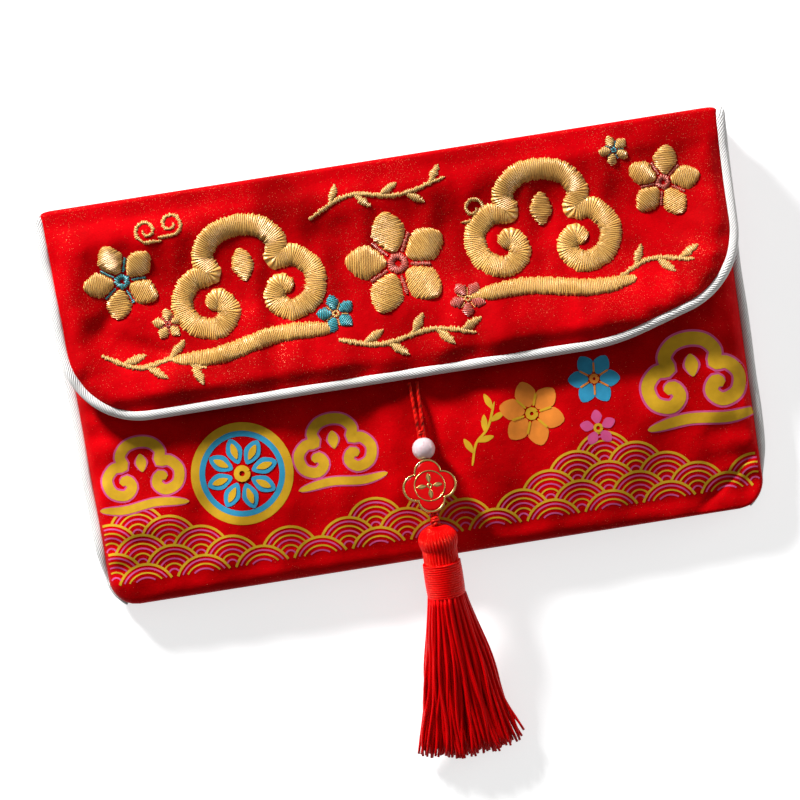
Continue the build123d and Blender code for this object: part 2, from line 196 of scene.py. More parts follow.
def curve_through(points: Array, count: int, steps: int = 24) -> Array:
    """Smooth line through given points: a Catmull-Rom spline, evenly resampled.

    Args:
        points: Points that the line passes, one a row.
        count: Number of points wanted.
        steps: Points worked out between two given ones.

    Returns:
        Points evenly spaced along the smooth line.
    """
    p = np.asarray(points, float)
    ends = np.concatenate([[2 * p[0] - p[1]], p, [2 * p[-1] - p[-2]]])
    t = np.linspace(0, 1, steps, endpoint=False)[:, None, None]
    a, b, c, d = ends[:-3], ends[1:-2], ends[2:-1], ends[3:]
    line = 0.5 * (2 * b + (c - a) * t + (2 * a - 5 * b + 4 * c - d) * t**2 + (3 * b - a - 3 * c + d) * t**3)
    return resample(np.concatenate([line.transpose(1, 0, 2).reshape(-1, p.shape[1]), p[-1:]]), count)


def headings(line: Array) -> tuple[Array, Array]:
    """Direction of a flat line at each of its points, as an angle, and the length of a step there."""
    tangent = np.gradient(line, axis=0)
    return np.arctan2(tangent[:, 1], tangent[:, 0]), np.linalg.norm(tangent, axis=1)


def grid_quads(rows: int, cols: int) -> Array:
    """Corners of the quads between neighbours on a grid of points that are counted row by row."""
    index = np.arange(rows * cols).reshape(rows, cols)
    return np.stack([index[:-1, :-1], index[:-1, 1:], index[1:, 1:], index[1:, :-1]], axis=-1).reshape(-1, 4)


def add_object(name: str, data: bpy.types.ID) -> Piece:
    """Makes an object of a mesh, curve, lamp or camera.

    Args:
        name: Name of the object.
        data: What it shows.

    Returns:
        The object, linked to the scene.
    """
    holder = bpy.data.objects.new(name, data)
    bpy.context.scene.collection.objects.link(holder)
    return holder


@dataclass
class Draft:
    """Collects grids of points and writes them to one closed, smooth mesh in metres."""

    name: str
    points: list[Array] = field(default_factory=list)
    faces: list[Array] = field(default_factory=list)
    uvs: list[Array] = field(default_factory=list)
    kinds: list[Array] = field(default_factory=list)
    merge_reach: float = 2e-6
    least_edge: float = 1e-7

    def grid(self, points: Array, uv: Array | None = None, kind: int = 0) -> None:
        """Adds a grid surface: neighbours in both directions become quads.

        Args:
            points: Grid of points, rows by columns by 3.
            uv: Grid of texture places in millimetres, or None for zeros.
            kind: Index of the material that the grid takes.
        """
        rows, cols = points.shape[:2]
        quads = grid_quads(rows, cols) + sum(map(len, self.points))
        self.points.append(points.reshape(-1, 3))
        self.faces.append(quads)
        self.uvs.append(np.zeros((rows * cols, 2)) if uv is None else uv.reshape(-1, 2))
        self.kinds.append(np.full(len(quads), kind))

    def shell(self, outer: Array, inner: Array, bulge: Array | float = 0.0) -> None:
        """Adds two skins of one grid size and closes them along their borders.

        The closing strip may bulge past the last row in a half round, as a turned hem does.

        Args:
            outer: Grid of the outer skin.
            inner: Grid of the inner skin.
            bulge: Vector that the strip at the last row bulges by.
        """
        self.grid(outer, outer[..., :2])
        self.grid(inner[:, ::-1], inner[:, ::-1, :2])
        turn = np.linspace(0, np.pi, 9)[:, None, None]
        for a, b, out in (
            (outer[-1], inner[-1], bulge),
            (outer[0], inner[0], 0.0),
            (outer[:, 0], inner[:, 0], 0.0),
            (outer[:, -1], inner[:, -1], 0.0),
        ):
            middle = (a + b) / 2
            strip = middle + (a - middle) * np.cos(turn) + np.sin(turn) * out
            self.grid(strip, strip[..., :2])

    def tube(
        self, path: Array, radius: Array | float, sides: int = 10, up: Array = UPWARD, streak: float = 0.0
    ) -> None:
        """Adds a round tube along a path, with both ends drawn together to a point.

        Args:
            path: Points of the middle line, one a row.
            radius: Radius, one for all or one a point.
            sides: Faces around the tube.
            up: Direction that the section is turned to, one for all or one a point.
            streak: Start of the UV map around the tube, which parts a thread's tone from its neighbours'.
        """
        tangent = np.gradient(path, axis=0)
        tangent /= np.linalg.norm(tangent, axis=1, keepdims=True)
        side = np.cross(np.broadcast_to(up, tangent.shape), tangent)
        side /= np.linalg.norm(side, axis=1, keepdims=True)
        doubled = np.r_[0, 0 : len(path), len(path) - 1]
        radius = np.concatenate([[0.0], np.broadcast_to(np.asarray(radius, float), len(path)), [0.0]])
        path, side, upward = path[doubled], side[doubled], np.cross(tangent, side)[doubled]
        turn = np.linspace(0, FULL_TURN, sides + 1)
        ring = np.cos(turn)[:, None] * side[:, None] + np.sin(turn)[:, None] * upward[:, None]
        uv = joined(run_along(path)[:, None], streak + turn * radius.max())
        self.grid(path[:, None] + radius[:, None, None] * ring, uv)

    def build(self, *materials: Material, closed: bool = True) -> Piece:
        """Writes the mesh, merges doubled points and turns the faces outwards.

        Args:
            *materials: Materials in the order of the kinds.
            closed: Whether the faces are turned outwards as on a closed body.

        Returns:
            The new object, linked to the scene.
        """
        mesh = bpy.data.meshes.new(self.name)
        mesh.from_pydata(np.concatenate(self.points) * MM, [], np.concatenate(self.faces))
        layer = mesh.uv_layers.new(name="UVMap")
        loops = np.empty(len(mesh.loops), np.int32)
        mesh.loops.foreach_get("vertex_index", loops)
        layer.data.foreach_set("uv", np.concatenate(self.uvs)[loops].astype(np.float32).ravel())
        mesh.polygons.foreach_set("material_index", np.concatenate(self.kinds).astype(np.int32))
        work = bmesh.new()
        work.from_mesh(mesh)
        bmesh.ops.remove_doubles(work, verts=work.verts, dist=self.merge_reach)
        bmesh.ops.dissolve_degenerate(work, edges=work.edges, dist=self.least_edge)
        if closed:
            bmesh.ops.recalc_face_normals(work, faces=work.faces)
        work.to_mesh(mesh)
        work.free()
        mesh.polygons.foreach_set("use_smooth", np.ones(len(mesh.polygons), bool))
        for material in materials:
            mesh.materials.append(material)
        LOG.info("%s: %d faces", self.name, len(mesh.polygons))
        return add_object(self.name, mesh)


class Nodes:
    """Small helper that adds and joins the nodes of one material."""

    wave_scale: float = 0.314

    def __init__(self, name: str) -> None:
        """Makes a new material with its shader.

        Args:
            name: Name of the material.
        """
        self.material = bpy.data.materials.new(name)
        self.material.use_nodes = True
        self.tree = self.material.node_tree
        self.shader = self.tree.nodes["Principled BSDF"]

    def add(self, kind: str, inputs: dict | None = None, **properties: object) -> bpy.types.Node:
        """Adds a node.

        Args:
            kind: Blender's name of the node type.
            inputs: Values or output sockets for its inputs, by name or index.
            **properties: Values for the node's own properties.

        Returns:
            The node.
        """
        node = self.tree.nodes.new(kind)
        for key, value in properties.items():
            setattr(node, key, value)
        for key, value in (inputs or {}).items():
            self.put(node.inputs[key], value)
        return node

    def put(self, socket: Socket, value: object) -> None:
        """Sets a socket to a value, or links an output to it.

        Args:
            socket: Input to set.
            value: A plain value or an output socket.
        """
        if isinstance(value, bpy.types.NodeSocket):
            self.tree.links.new(value, socket)
        elif isinstance(value, tuple) and len(value) == 3 and len(socket.default_value) == 4:
            socket.default_value = (*value, 1.0)
        else:
            socket.default_value = value

    def math(self, operation: str, a: object, b: object = 0.0, c: object = 0.0) -> Socket:
        """Result of a math node's operation on up to three values or sockets."""
        return self.add("ShaderNodeMath", {0: a, 1: b, 2: c}, operation=operation).outputs[0]

    def line(self, value: object, gain: object, shift: object) -> Socket:
        """A value times a gain plus a shift."""
        return self.math("MULTIPLY_ADD", value, gain, shift)

    def clamp(self, value: object) -> Socket:
        """A value held between 0 and 1."""
        return self.add("ShaderNodeClamp", {"Value": value}).outputs[0]

    def mix(self, share: object, a: object, b: object) -> Socket:
        """Mix of two colours, by the share of the second."""
        return self.add("ShaderNodeMix", {"Factor": share, 6: a, 7: b}, data_type="RGBA").outputs[2]

    def place(self, coordinate: str = "Object", scale: Triple = (1.0,) * 3, turn: float = 0.0) -> Socket:
        """Texture place of a point, on "Object" or "UV" coordinates, scaled and turned about Z."""
        inputs = {"Vector": self.add("ShaderNodeTexCoord").outputs[coordinate], "Scale": scale}
        return self.add("ShaderNodeMapping", inputs | {"Rotation": (0.0, 0.0, turn)}).outputs[0]

    def noise(self, place: object, scale: float, detail: float = 2.0) -> Socket:
        """Grey noise of a scale, as a socket of about 0.3 to 0.7."""
        return self.add("ShaderNodeTexNoise", {"Vector": place, "Scale": scale, "Detail": detail}).outputs[0]

    def waves(self, place: object, pitch: float, distortion: float, more: dict | None = None) -> Socket:
        """Sine bands at a pitch along the texture's X, unsteady by a distortion, with more inputs if given."""
        inputs = {"Vector": place, "Scale": self.wave_scale / pitch, "Distortion": distortion}
        return self.add("ShaderNodeTexWave", inputs | (more or {})).outputs["Fac"]

    def bump(self, height: object, depth: float, strength: float = 1.0, under: object = None) -> Socket:
        """Normal bumped by a height of 0 to 1 over a real depth in metres, on another normal if given."""
        inputs = {"Height": height, "Strength": strength, "Distance": depth}
        return self.add("ShaderNodeBump", inputs if under is None else inputs | {"Normal": under}).outputs[0]

    def weave(self) -> Socket:
        """Normal of the satin's fine weave: noise drawn out along the threads."""
        return self.bump(self.noise(self.place("Object", (1.0, 3.0, 1.0)), 2600.0, 1.0), 0.00008, 0.5)

    def shade(self, **values: object) -> Material:
        """Sets the shader's inputs, with underscores for spaces in their names, and gives the material.

        Args:
            **values: Values or sockets by input name.

        Returns:
            The finished material.
        """
        for key, value in values.items():
            self.put(self.shader.inputs[key.replace("_", " ")], value)
        return self.material


@dataclass(frozen=True)
class Satin:
    """Red satin: a fine weave, soft creases, an even sheen and glitter flecks."""

    name: str
    light: Triple
    dark: Triple
    glitter: float
    roughness: float = 0.62
    crease_depth: float = 0.0011
    fleck_size: float = 0.00019
    fleck_reach: float = 0.42
    fleck_depth: float = 0.0002
    red_fleck: Triple = (0.95, 0.12, 0.02)
    pale_fleck: Triple = (1.0, 0.46, 0.26)

    def make(self) -> Material:
        """Builds the material on Object coordinates: cloudy tones, and flecks in cells that noise picks out.

        Returns:
            The satin material.
        """
        n = Nodes(self.name)
        place = n.place()
        fine = n.noise(n.place("Object", (1.0, 5.0, 1.0), 0.3), 1500.0, 1.0)
        cloudy = n.line(n.noise(place, 70.0, 3.0), 2.2, -0.6)
        cloth = n.mix(n.clamp(n.math("ADD", cloudy, n.line(fine, 0.8, -0.4))), self.dark, self.light)
        creased = n.bump(n.noise(place, 120.0, 3.0), self.crease_depth, 0.5, n.weave())
        cells = n.add("ShaderNodeTexVoronoi", {"Vector": place, "Scale": 1 / self.fleck_size}).outputs
        tone = n.add("ShaderNodeSeparateColor", {0: cells["Color"]}).outputs
        patch = n.line(n.noise(place, 55.0, 4.0), 8.0 * self.glitter, -2.9 * self.glitter)
        chosen = n.math("GREATER_THAN", n.math("ADD", tone[0], patch), 1.0)
        fleck = n.math("MULTIPLY", chosen, n.math("LESS_THAN", cells["Distance"], self.fleck_reach))
        bright = n.line(n.math("POWER", tone[2], 3.0), 0.8, 0.10)
        spark = n.mix(tone[1], self.red_fleck, self.pale_fleck)
        return n.shade(
            Base_Color=n.mix(n.math("MULTIPLY", fleck, bright), cloth, spark),
            Roughness=n.line(fleck, -0.2, n.line(fine, 0.16, self.roughness - 0.08)),
            Normal=n.bump(n.math("MULTIPLY", fleck, tone[2]), self.fleck_depth, 0.8, creased),
            Metallic=n.math("MULTIPLY", fleck, 0.7),
            Sheen_Weight=0.05,
            Sheen_Roughness=0.4,
            Sheen_Tint=(1.0, 0.04, 0.03),
            Specular_IOR_Level=0.08,
            Specular_Tint=(1.0, 0.10, 0.08),
        )


@dataclass(frozen=True)
class Twill:
    """White bias tape: fine slanting ribs along the piping, on the piping's own UV map in millimetres."""

    name: str
    colour: Triple
    shadow: Triple
    rib: float = 0.62
    slant: float = 0.85
    depth: float = 0.00034

    def make(self) -> Material:
        """Builds the material: slanting sine ribs with a little fuzz, as bump and, through the shadow colour,
        as painted shade in the rib grooves.

        Returns:
            The twill material.
        """
        n = Nodes(self.name)
        ribs = n.waves(n.place("UV", turn=self.slant), self.rib, 0.6, {"Detail Scale": 2.0})
        mixed = n.line(ribs, 0.75, n.math("MULTIPLY", n.noise(n.place("UV"), 5.0, 3.0), 0.4))
        return n.shade(
            # painted shade: the shadow colour lies in the rib grooves where the bump sinks; the fuzz adds
            # random tone
            Base_Color=n.mix(mixed, self.shadow, self.colour),
            Normal=n.bump(mixed, self.depth, 0.9),
            Roughness=0.78,
            Sheen_Weight=0.15,
            Specular_IOR_Level=0.25,
        )


@dataclass(frozen=True)
class StitchedThread:
    """Satin stitch: close shiny threads across a shape, on its UV map (along, across) in millimetres."""

    name: str
    colour: Triple
    pitch: float = 0.5
    lean: float = 0.10
    # darkness and warmth of the painted shade in the gaps between threads
    shade: float = 0.6
    shade_warmth: Triple = (1.0, 0.58, 0.22)
    depth: float = 0.00042

    def make(self) -> Material:
        """Builds the material: sine ribs across the stroke, with a darker, warmer colour as painted shade in
        the gaps between threads and as uneven tone on some threads.

        Returns:
            The thread material.
        """
        n = Nodes(self.name)
        ribs = n.waves(n.place("UV", (1.0, 0.12, 1.0), self.lean), self.pitch, 1.6, {"Detail": 1.0})
        strands = n.noise(n.place("UV", (1.0, 0.10, 1.0)), 2.6, 2.0)
        share = n.clamp(n.line(ribs, 0.85, n.line(strands, 1.0, -0.36)))
        # painted shade: the darker, warmer colour in the rib gaps stands for the shade between threads; the
        # strand noise also lays it on some threads as uneven tone
        gap_shade_and_thread_tone = tuple(c * self.shade * f for c, f in zip(self.colour, self.shade_warmth))
        return n.shade(
            Base_Color=n.mix(share, gap_shade_and_thread_tone, self.colour),
            Normal=n.bump(share, self.depth, 1.0),
            Roughness=0.37,
            Metallic=0.12,
            Specular_IOR_Level=0.9,
        )


@dataclass(frozen=True)
class Ink:
    """Print on satin: a flat colour that takes the weave under it, slightly uneven."""

    name: str
    colour: Triple
    worn: float = 0.72

    def make(self) -> Material:
        """Builds the material: patchy noise between the colour and a darker one.

        Returns:
            The print material.
        """
        n = Nodes(self.name)
        dark = tuple(c * self.worn for c in self.colour)
        colour = n.mix(n.line(n.noise(n.place(), 260.0, 3.0), 1.8, -0.4), dark, self.colour)
        return n.shade(Base_Color=colour, Normal=n.weave(), Roughness=0.62, Specular_IOR_Level=0.08)


@dataclass(frozen=True)
class Silk:
    """Silky thread: a twisted ply and fine streaks, on a UV map (along, around) in mm or on the object."""

    name: str
    light: Triple
    dark: Triple
    twist: float
    roughness: float
    specular: float = 0.6
    glint: Triple = (1.0, 0.24, 0.10)
    pitch: float = 0.35
    coordinate: str = "UV"
    unit: float = 1.0
    depth: float = 0.00012

    def make(self) -> Material:
        """Builds the material: sine bands for the ply, as bump and as painted shade in the grooves between
        plies, and long noise for random streaks of tone.

        Returns:
            The silk material.
        """
        n = Nodes(self.name)
        ply = n.waves(n.place(self.coordinate, (self.unit,) * 3, self.twist), self.pitch, 1.0)
        streak = n.noise(n.place(self.coordinate, (0.06 * self.unit, 0.5 * self.unit, self.unit)), 0.9, 2.0)
        # painted shade: the ply bands darken the colour in the grooves between plies; the streak noise is
        # random tone of the threads
        share = n.clamp(n.line(ply, 0.4, n.line(streak, 1.9, -0.65)))
        return n.shade(
            Base_Color=n.mix(share, self.dark, self.light),
            Normal=n.bump(ply, self.depth, 0.6),
            Roughness=self.roughness,
            Sheen_Weight=0.08,
            Sheen_Tint=(1.0, 0.05, 0.04),
            Specular_IOR_Level=self.specular,
            Specular_Tint=self.glint,
        )


@dataclass(frozen=True)
class Gloss:
    """Hard shiny finish with faint unevenness: gilt, enamel, pearl or plated steel."""

    name: str
    colour: Triple
    second: Triple
    roughness: float
    metallic: float = 0.0
    coat: float = 0.0
    specular: float = 0.5
    glow_through: float = 0.0
    grain: float = 400.0
    depth: float = 0.00003

    def make(self) -> Material:
        """Builds the material: cloudy noise between two colours, also in the roughness, over a faint bump.

        Returns:
            The hard finish.
        """
        n = Nodes(self.name)
        place = n.place()
        cloudy = n.noise(place, self.grain, 3.0)
        return n.shade(
            Base_Color=n.mix(n.line(cloudy, 2.0, -0.5), self.colour, self.second),
            Roughness=n.line(cloudy, 0.12, self.roughness - 0.06),
            Normal=n.bump(n.noise(place, self.grain * 4, 2.0), self.depth, 0.4),
            Metallic=self.metallic,
            Coat_Weight=self.coat,
            Coat_Roughness=0.06,
            Specular_IOR_Level=self.specular,
            Subsurface_Weight=self.glow_through,
            Subsurface_Scale=4.0 * MM,
            Subsurface_Radius=(1.0, 0.8, 0.8),
        )


@dataclass(frozen=True)
class Relief:
    """Heights that a simulated sheet of cloth took up on an even grid, read anywhere by a smooth spline."""

    left: float
    low: float
    cell: float
    heights: Array

    def at(self, x: Array, y: Array) -> Array:
        """Height at any place: a cubic B-spline over the sixteen nearest grid points.

        Args:
            x: Places across.
            y: Places along.

        Returns:
            Heights in millimetres.
        """
        rows, cols = self.heights.shape
        u = np.clip((x - self.left) / self.cell, 0, cols - 1.001)
        v = np.clip((y - self.low) / self.cell, 0, rows - 1.001)
        i, j = u.astype(int), v.astype(int)
        weights = []
        for f in (u - i, v - j):
            weights.append([(1 - f) ** 3, 3 * f**3 - 6 * f**2 + 4, -3 * f**3 + 3 * f**2 + 3 * f + 1, f**3])
        padded = np.pad(self.heights, ((1, 2), (1, 2)), mode="edge")
        return sum(
            padded[j + b, i + a] * weights[0][a] * weights[1][b] for a in range(4) for b in range(4)
        ) / 36.0


@dataclass(frozen=True)
class ClothSheet:
    """A sheet of cloth with a little slack that buckles between its seams, under the push of its wadding."""

    slack: float
    pressure: float
    bending: float
    seed: int
    cell: float = 2.5
    limit: float = 1.6
    frames: int = 24
    scale: float = 0.01
    stiffness: float = 12.0
    quality: int = 6
    air_damping: float = 2.0
    first_height: float = 0.3
    first_length: float = 14.0

    def settle(
        self, left: float, right: float, low: float, high: float, held: Callable[[Array, Array], Array]
    ) -> Relief:
        """Runs the simulation on a flat sheet with a faint first unevenness and reads how far it rose.

        Args:
            left: Where the sheet starts across.
            right: Where it ends.
            low: Where it starts along.
            high: Where it ends.
            held: Tells from grids of x and y which points are sewn fast.

        Returns:
            The heights, none above the limit.
        """
        x, y = np.meshgrid(
            np.arange(left, right + self.cell, self.cell), np.arange(low, high + self.cell, self.cell)
        )
        fast = held(x, y)
        start = np.where(fast, 0.0, self.first_height * ripples(x, y, self.first_length, self.seed))
        mesh = bpy.data.meshes.new("sheet")
        mesh.from_pydata(joined(x, y, start).reshape(-1, 3) * self.scale, [], grid_quads(*x.shape))
        sheet = add_object("sheet", mesh)
        sheet.vertex_groups.new(name="sewn").add(np.flatnonzero(fast).tolist(), 1.0, "REPLACE")
        cloth = sheet.modifiers.new("cloth", "CLOTH")
        cloth.settings.quality = self.quality
        cloth.settings.tension_stiffness = cloth.settings.compression_stiffness = self.stiffness
        cloth.settings.bending_stiffness = self.bending
        cloth.settings.air_damping = self.air_damping
        cloth.settings.vertex_group_mass = "sewn"
        cloth.settings.use_pressure = True
        cloth.settings.uniform_pressure_force = self.pressure
        cloth.settings.shrink_min = -self.slack
        cloth.settings.effector_weights.gravity = 0
        cloth.point_cache.frame_start, cloth.point_cache.frame_end = 1, self.frames
        scene = bpy.context.scene
        for moment in range(1, self.frames + 1):
            scene.frame_set(moment)
        settled = sheet.evaluated_get(bpy.context.evaluated_depsgraph_get()).data
        places = np.empty(x.size * 3, np.float32)
        settled.vertices.foreach_get("co", places)
        scene.frame_set(1)
        bpy.data.objects.remove(sheet)
        rise = places.reshape(*x.shape, 3)[..., 2] / self.scale
        rise = self.limit * np.tanh((rise - np.median(rise[~fast])) / self.limit)
        LOG.info("cloth sheet rose %.2f to %.2f mm", rise.min(), rise.max())
        return Relief(left, low, self.cell, np.where(fast, 0.0, rise))


def set_piece(piece: Piece, body: str | None, slot: Slot, *nodes: str) -> Piece:
    """Lets a piece ride on a body and hides the CAD nodes that it stands for.

    Args:
        piece: The piece.
        body: Body that it rides on, or None to leave it unattached.
        slot: Material slot of the record; not used.
        *nodes: CAD nodes that it replaces.

    Returns:
        The piece.
    """
    if body:
        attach(piece, body)
    if nodes:
        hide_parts(*nodes)
    return piece


@dataclass
class PouchBody:
    """Padded front and back, sewn together round three sides, with the back running on into the spine."""

    front_satin: Material
    back_satin: Material
    twill: Material
    foot_y: float = -57.0
    mouth_y: float = 53.8
    top_y: float = 57.0
    foot_half: float = 94.5
    mouth_half: float = 97.0
    foot_height: float = 15.0
    mouth_height: float = 18.0
    crown: float = 1.0
    foot_roll: float = 7.6
    mouth_roll: float = 9.6
    bottom_roll: float = 8.0
    seam_z: float = 8.0
    sewn_share: float = 0.6
    broad_wave: float = 0.2
    broad_length: float = 46.0
    flap_calm: float = 0.65
    flap_edge: Spot = (-12.0, 4.0)
    pucker: float = 0.5
    side_gathers: Triple = (1.5, 1.4, 7.0)
    gather: float = 0.35
    foot_gathers: Triple = (2.6, 1.7, 13.0)
    pucker_reach: float = 9.0
    corner_fold: float = 0.9
    corner_at: Spot = (84.0, -49.0)
    corner_across: Spot = (0.62, -0.78)
    corner_width: float = 1.3
    corner_start: Spot = (70.0, 84.0)
    slump: float = 2.2
    slump_across: Spot = (20.0, 97.0)
    slump_down: Spot = (24.0, 57.0)
    foot_sag: float = 1.7
    sag_down: Spot = (34.0, 57.0)
    wall: float = 2.4
    hem_share: float = 0.35
    back_roll_share: float = 0.12
    back_lift: float = 0.12
    back_wave: float = 30.0
    back_flat: Spot = (46.0, 53.0)
    floor_gap: float = 0.02
    crease_y: float = 55.6
    back_crease_z: float = 1.6
    flap_crease_z: float = 21.1993
    crease_reach: float = 2.6
    sheet: float = 2.8
    inner_rise: float = 0.8
    spine_split_z: float = 11.4
    piping_radius: float = 1.5
    piping_stand: float = 0.9
    piping_end_turn: float = 55.0
    piping_end_share: float = 0.55
    piping_end_points: int = 26
    piping_points: int = 170
    piping_bend: float = 4.5
    piping_wander: float = 0.25
    wander_length: float = 26.0
    end_tuck: float = 4.5
    end_draw: float = 1.4
    columns: int = 240
    rows: int = 120
    cloth: ClothSheet = ClothSheet(0.012, 0.05, 0.7, 4)

    def __post_init__(self) -> None:
        """Lets the front's cloth settle between its seams."""
        reach = (-self.mouth_half, self.mouth_half, self.foot_y, self.mouth_y)
        self.relief = self.cloth.settle(*reach, self.sewn)

    def sewn(self, x: Array, y: Array) -> Array:
        """Where the front's cloth is held fast: out on the rolled edge."""
        return self.edge_share(x, y) > self.sewn_share

    def along(self, y: Array, foot: float, mouth: float) -> Array:
        """Value at y of a size that changes evenly from the foot to the mouth."""
        return foot + (mouth - foot) * (y - self.foot_y) / (self.mouth_y - self.foot_y)

    def width(self, y: Array) -> Array:
        """Half width at y of the plan before its lower corners are rounded."""
        return self.along(y, self.foot_half, self.mouth_half)

    def half_width(self, y: Array) -> Array:
        """Half width of the plan at y, rounded at the lower corners as a quarter of an ellipse."""
        return self.width(y) - self.foot_roll * (1 - rounded((y - self.foot_y) / self.bottom_roll))

    def edge_share(self, x: Array, y: Array) -> Array:
        """How far a point is out on the rolled edge: root of the squares of the side's and foot's shares.

        Args:
            x: Places across.
            y: Places along.

        Returns:
            0 on the flat, 1 on the seam.
        """
        roll = self.along(y, self.foot_roll, self.mouth_roll)
        side = np.clip(1 - (self.width(y) - np.abs(x)) / roll, 0, 1)
        foot = np.clip(1 - (y - self.foot_y) / self.bottom_roll, 0, 1)
        return np.clip(np.hypot(side, foot), 0, 1)

    def front(self, x: Array, y: Array) -> Array:
        """Height of the front's outer skin: a crowned flat, rounded to the seam as a quarter of an ellipse.

        Settled folds, puckers at the seams, a fold at the right lower corner and the slump of the wadding
        are added, and die out at the seam.

        Args:
            x: Places across.
            y: Places along.

        Returns:
            Heights in millimetres.
        """
        share = self.edge_share(x, y)
        broad = self.broad_wave * ripples(x, y, self.broad_length, 3) + self.relief.at(x, y)
        broad = broad * (1 - self.flap_calm * smooth(y, *self.flap_edge))
        side = np.exp(-(self.width(y) - np.abs(x)) / self.pucker_reach)
        pucker = self.pucker * side * gathers(y, *self.side_gathers, np.sign(x))
        foot = np.exp(-(y - self.foot_y) / self.pucker_reach)
        gather = self.gather * foot * gathers(x, *self.foot_gathers)
        (at_x, at_y), (across_x, across_y) = self.corner_at, self.corner_across
        fold = bell((x - at_x) * across_x + (y - at_y) * across_y, self.corner_width)
        fold = self.corner_fold * fold * smooth(x, *self.corner_start)
        slump = self.slump * smooth(x, *self.slump_across) * smooth(-y, *self.slump_down)
        slump = slump + self.foot_sag * smooth(-y, *self.sag_down)
        soft = (broad + pucker + gather - fold - slump) * (1 - share**4)
        height = self.along(y, self.foot_height, self.mouth_height) - self.crown * (x / self.mouth_half) ** 2
        return self.seam_z + (height - self.seam_z) * np.sqrt(1 - share**2) + soft

    def plan(self) -> tuple[Array, Array]:
        """Grid of places across and along, closer together towards the edges.

        Returns:
            Grids of x and y, rows from the foot to the mouth.
        """
        up = np.linspace(0, 1, self.rows)
        y = self.foot_y + (self.mouth_y - self.foot_y) * (0.35 * up + 0.65 * up**2)
        grid_y = np.broadcast_to(y[:, None], (self.rows, self.columns))
        return crowded(self.columns) * self.half_width(grid_y), grid_y.copy()

    def inward(self, x: Array, y: Array) -> tuple[Array, Array]:
        """Places of the inner skin under the outer one's, drawn in by the wall at the sides and the foot."""
        share = 1 - self.wall / (self.mouth_y - self.foot_y)
        return x * (1 - self.wall / self.mouth_half), self.mouth_y - (self.mouth_y - y) * share

    def build_front(self) -> None:
        """Builds the padded front: outer skin, inner skin and a rounded hem at the mouth."""
        x, y = self.plan()
        z = self.front(x, y)
        inner_z = self.seam_z + (z - self.wall - self.seam_z) * np.sqrt(1 - self.edge_share(x, y) ** 2)
        draft = Draft("front_pad")
        hem = np.array([0.0, self.wall * self.hem_share, 0.0])
        draft.shell(joined(x, y, z), joined(*self.inward(x, y), inner_z), hem)
        piece = draft.build(self.front_satin)
        set_piece(piece, "pouch", Slot.FRONT, "front_panel", "front_wadding", "front_lining")

    def build_back(self) -> None:
        """Builds the padded back, flat where it lies, turned up at the top into the lower half of the spine.

        Both skins have three parts: the back, a quarter turn at the crease, and the rise of the spine.
        """
        x, y = self.plan()
        share = np.clip((self.edge_share(x, y) - self.back_roll_share) / (1 - self.back_roll_share), 0, 1)
        round_off = np.sqrt(1 - share**2)
        uneven = self.back_lift * (1 + ripples(x, y, self.back_wave, 8))
        lift = np.maximum(uneven * (1 - share), self.floor_gap)
        z = self.seam_z * (1 - round_off) * (1 - smooth(y, *self.back_flat)) + lift
        turn = np.linspace(0, np.pi / 2, 14)[1:, None]
        step = np.linspace(0, 1, 14)[1:, None]
        rise = np.linspace(0, 1, 10)[1:, None]
        half = self.sheet / 2
        row, inner_row = x[-1], x[-1] * (1 - self.wall / self.mouth_half)
        bend_z = self.back_crease_z - (self.back_crease_z - z[-1]) * np.cos(turn)
        crease_z, inner_y = self.wall + self.inner_rise, self.crease_y - half
        inner_step = self.mouth_y + (inner_y - self.mouth_y) * step
        outer = [
            joined(x, y, z),
            joined(row, self.crease_y + half * np.sin(turn), bend_z),
            joined(row, self.top_y, self.back_crease_z + (self.spine_split_z - self.back_crease_z) * rise),
        ]
        inner = [
            joined(*self.inward(x, y), z + self.wall * round_off),
            joined(inner_row, inner_step, self.wall + self.inner_rise * step),
            joined(inner_row, inner_y, crease_z + (self.spine_split_z - crease_z) * rise),
        ]
        draft = Draft("back_pad")
        draft.shell(np.concatenate(outer), np.concatenate(inner))
        piece = draft.build(self.back_satin)
        nodes = (f"{part}_{layer}" for part in ("back", "spine") for layer in ("panel", "wadding", "lining"))
        set_piece(piece, None, Slot.FLAP, *nodes)
        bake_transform(piece)

    def build_side_piping(self) -> None:
        """Builds the piping of both side seams: down the spine's ends, along the sides, round the corners.

        Its lower end is drawn in and tucked under the corner.
        """
        radius = self.bottom_roll + 1.0 + self.piping_stand
        top_x = self.mouth_half + self.piping_stand
        rise = np.array([
            [top_x, self.crease_y, self.spine_split_z],
            [top_x, self.crease_y, self.spine_split_z - 1.5],
            [top_x, self.crease_y - 0.4, self.seam_z + 1.4],
            [top_x, self.mouth_y, self.seam_z],
        ])
        y = np.linspace(self.mouth_y - 3.0, self.foot_y + self.bottom_roll + 1.0, 60)
        turn = np.radians(np.linspace(0, self.piping_end_turn, 14))[1:]
        arc = radius * joined(np.cos(turn), -np.sin(turn), 0.0)
        for (name, sign), seed, tuck_start, tuck_end in zip(SIDES, (12, 11), (40.0, 36.0), (52.0, 50.0)):
            tuck = smooth(-y, tuck_start, tuck_end)
            wander = self.piping_wander * ripples(y, y * 0, self.wander_length, seed)
            x = self.width(y) + self.piping_stand + wander
            side = joined(x - self.end_draw * tuck, y, self.seam_z - self.end_tuck * tuck)
            corner = side[-1] - radius * ACROSS + arc
            guide = np.concatenate([rise, side[::6], side[-1:], corner[2::4], corner[-1:]])
            path = curve_through(guide, self.piping_points)
            path[:, 0] *= sign
            size = np.full(len(path), self.piping_radius)
            size[-self.piping_end_points :] *= np.linspace(1, self.piping_end_share, self.piping_end_points)
            draft = Draft(f"{name}_piping")
            draft.tube(path, size, 14, up=np.array([1.0, 0.0, 0.02]))
            piece = draft.build(self.twill)
            set_piece(piece, None, Slot.PIPING, f"{name}_piping_cover", f"{name}_piping_core")
            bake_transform(piece)


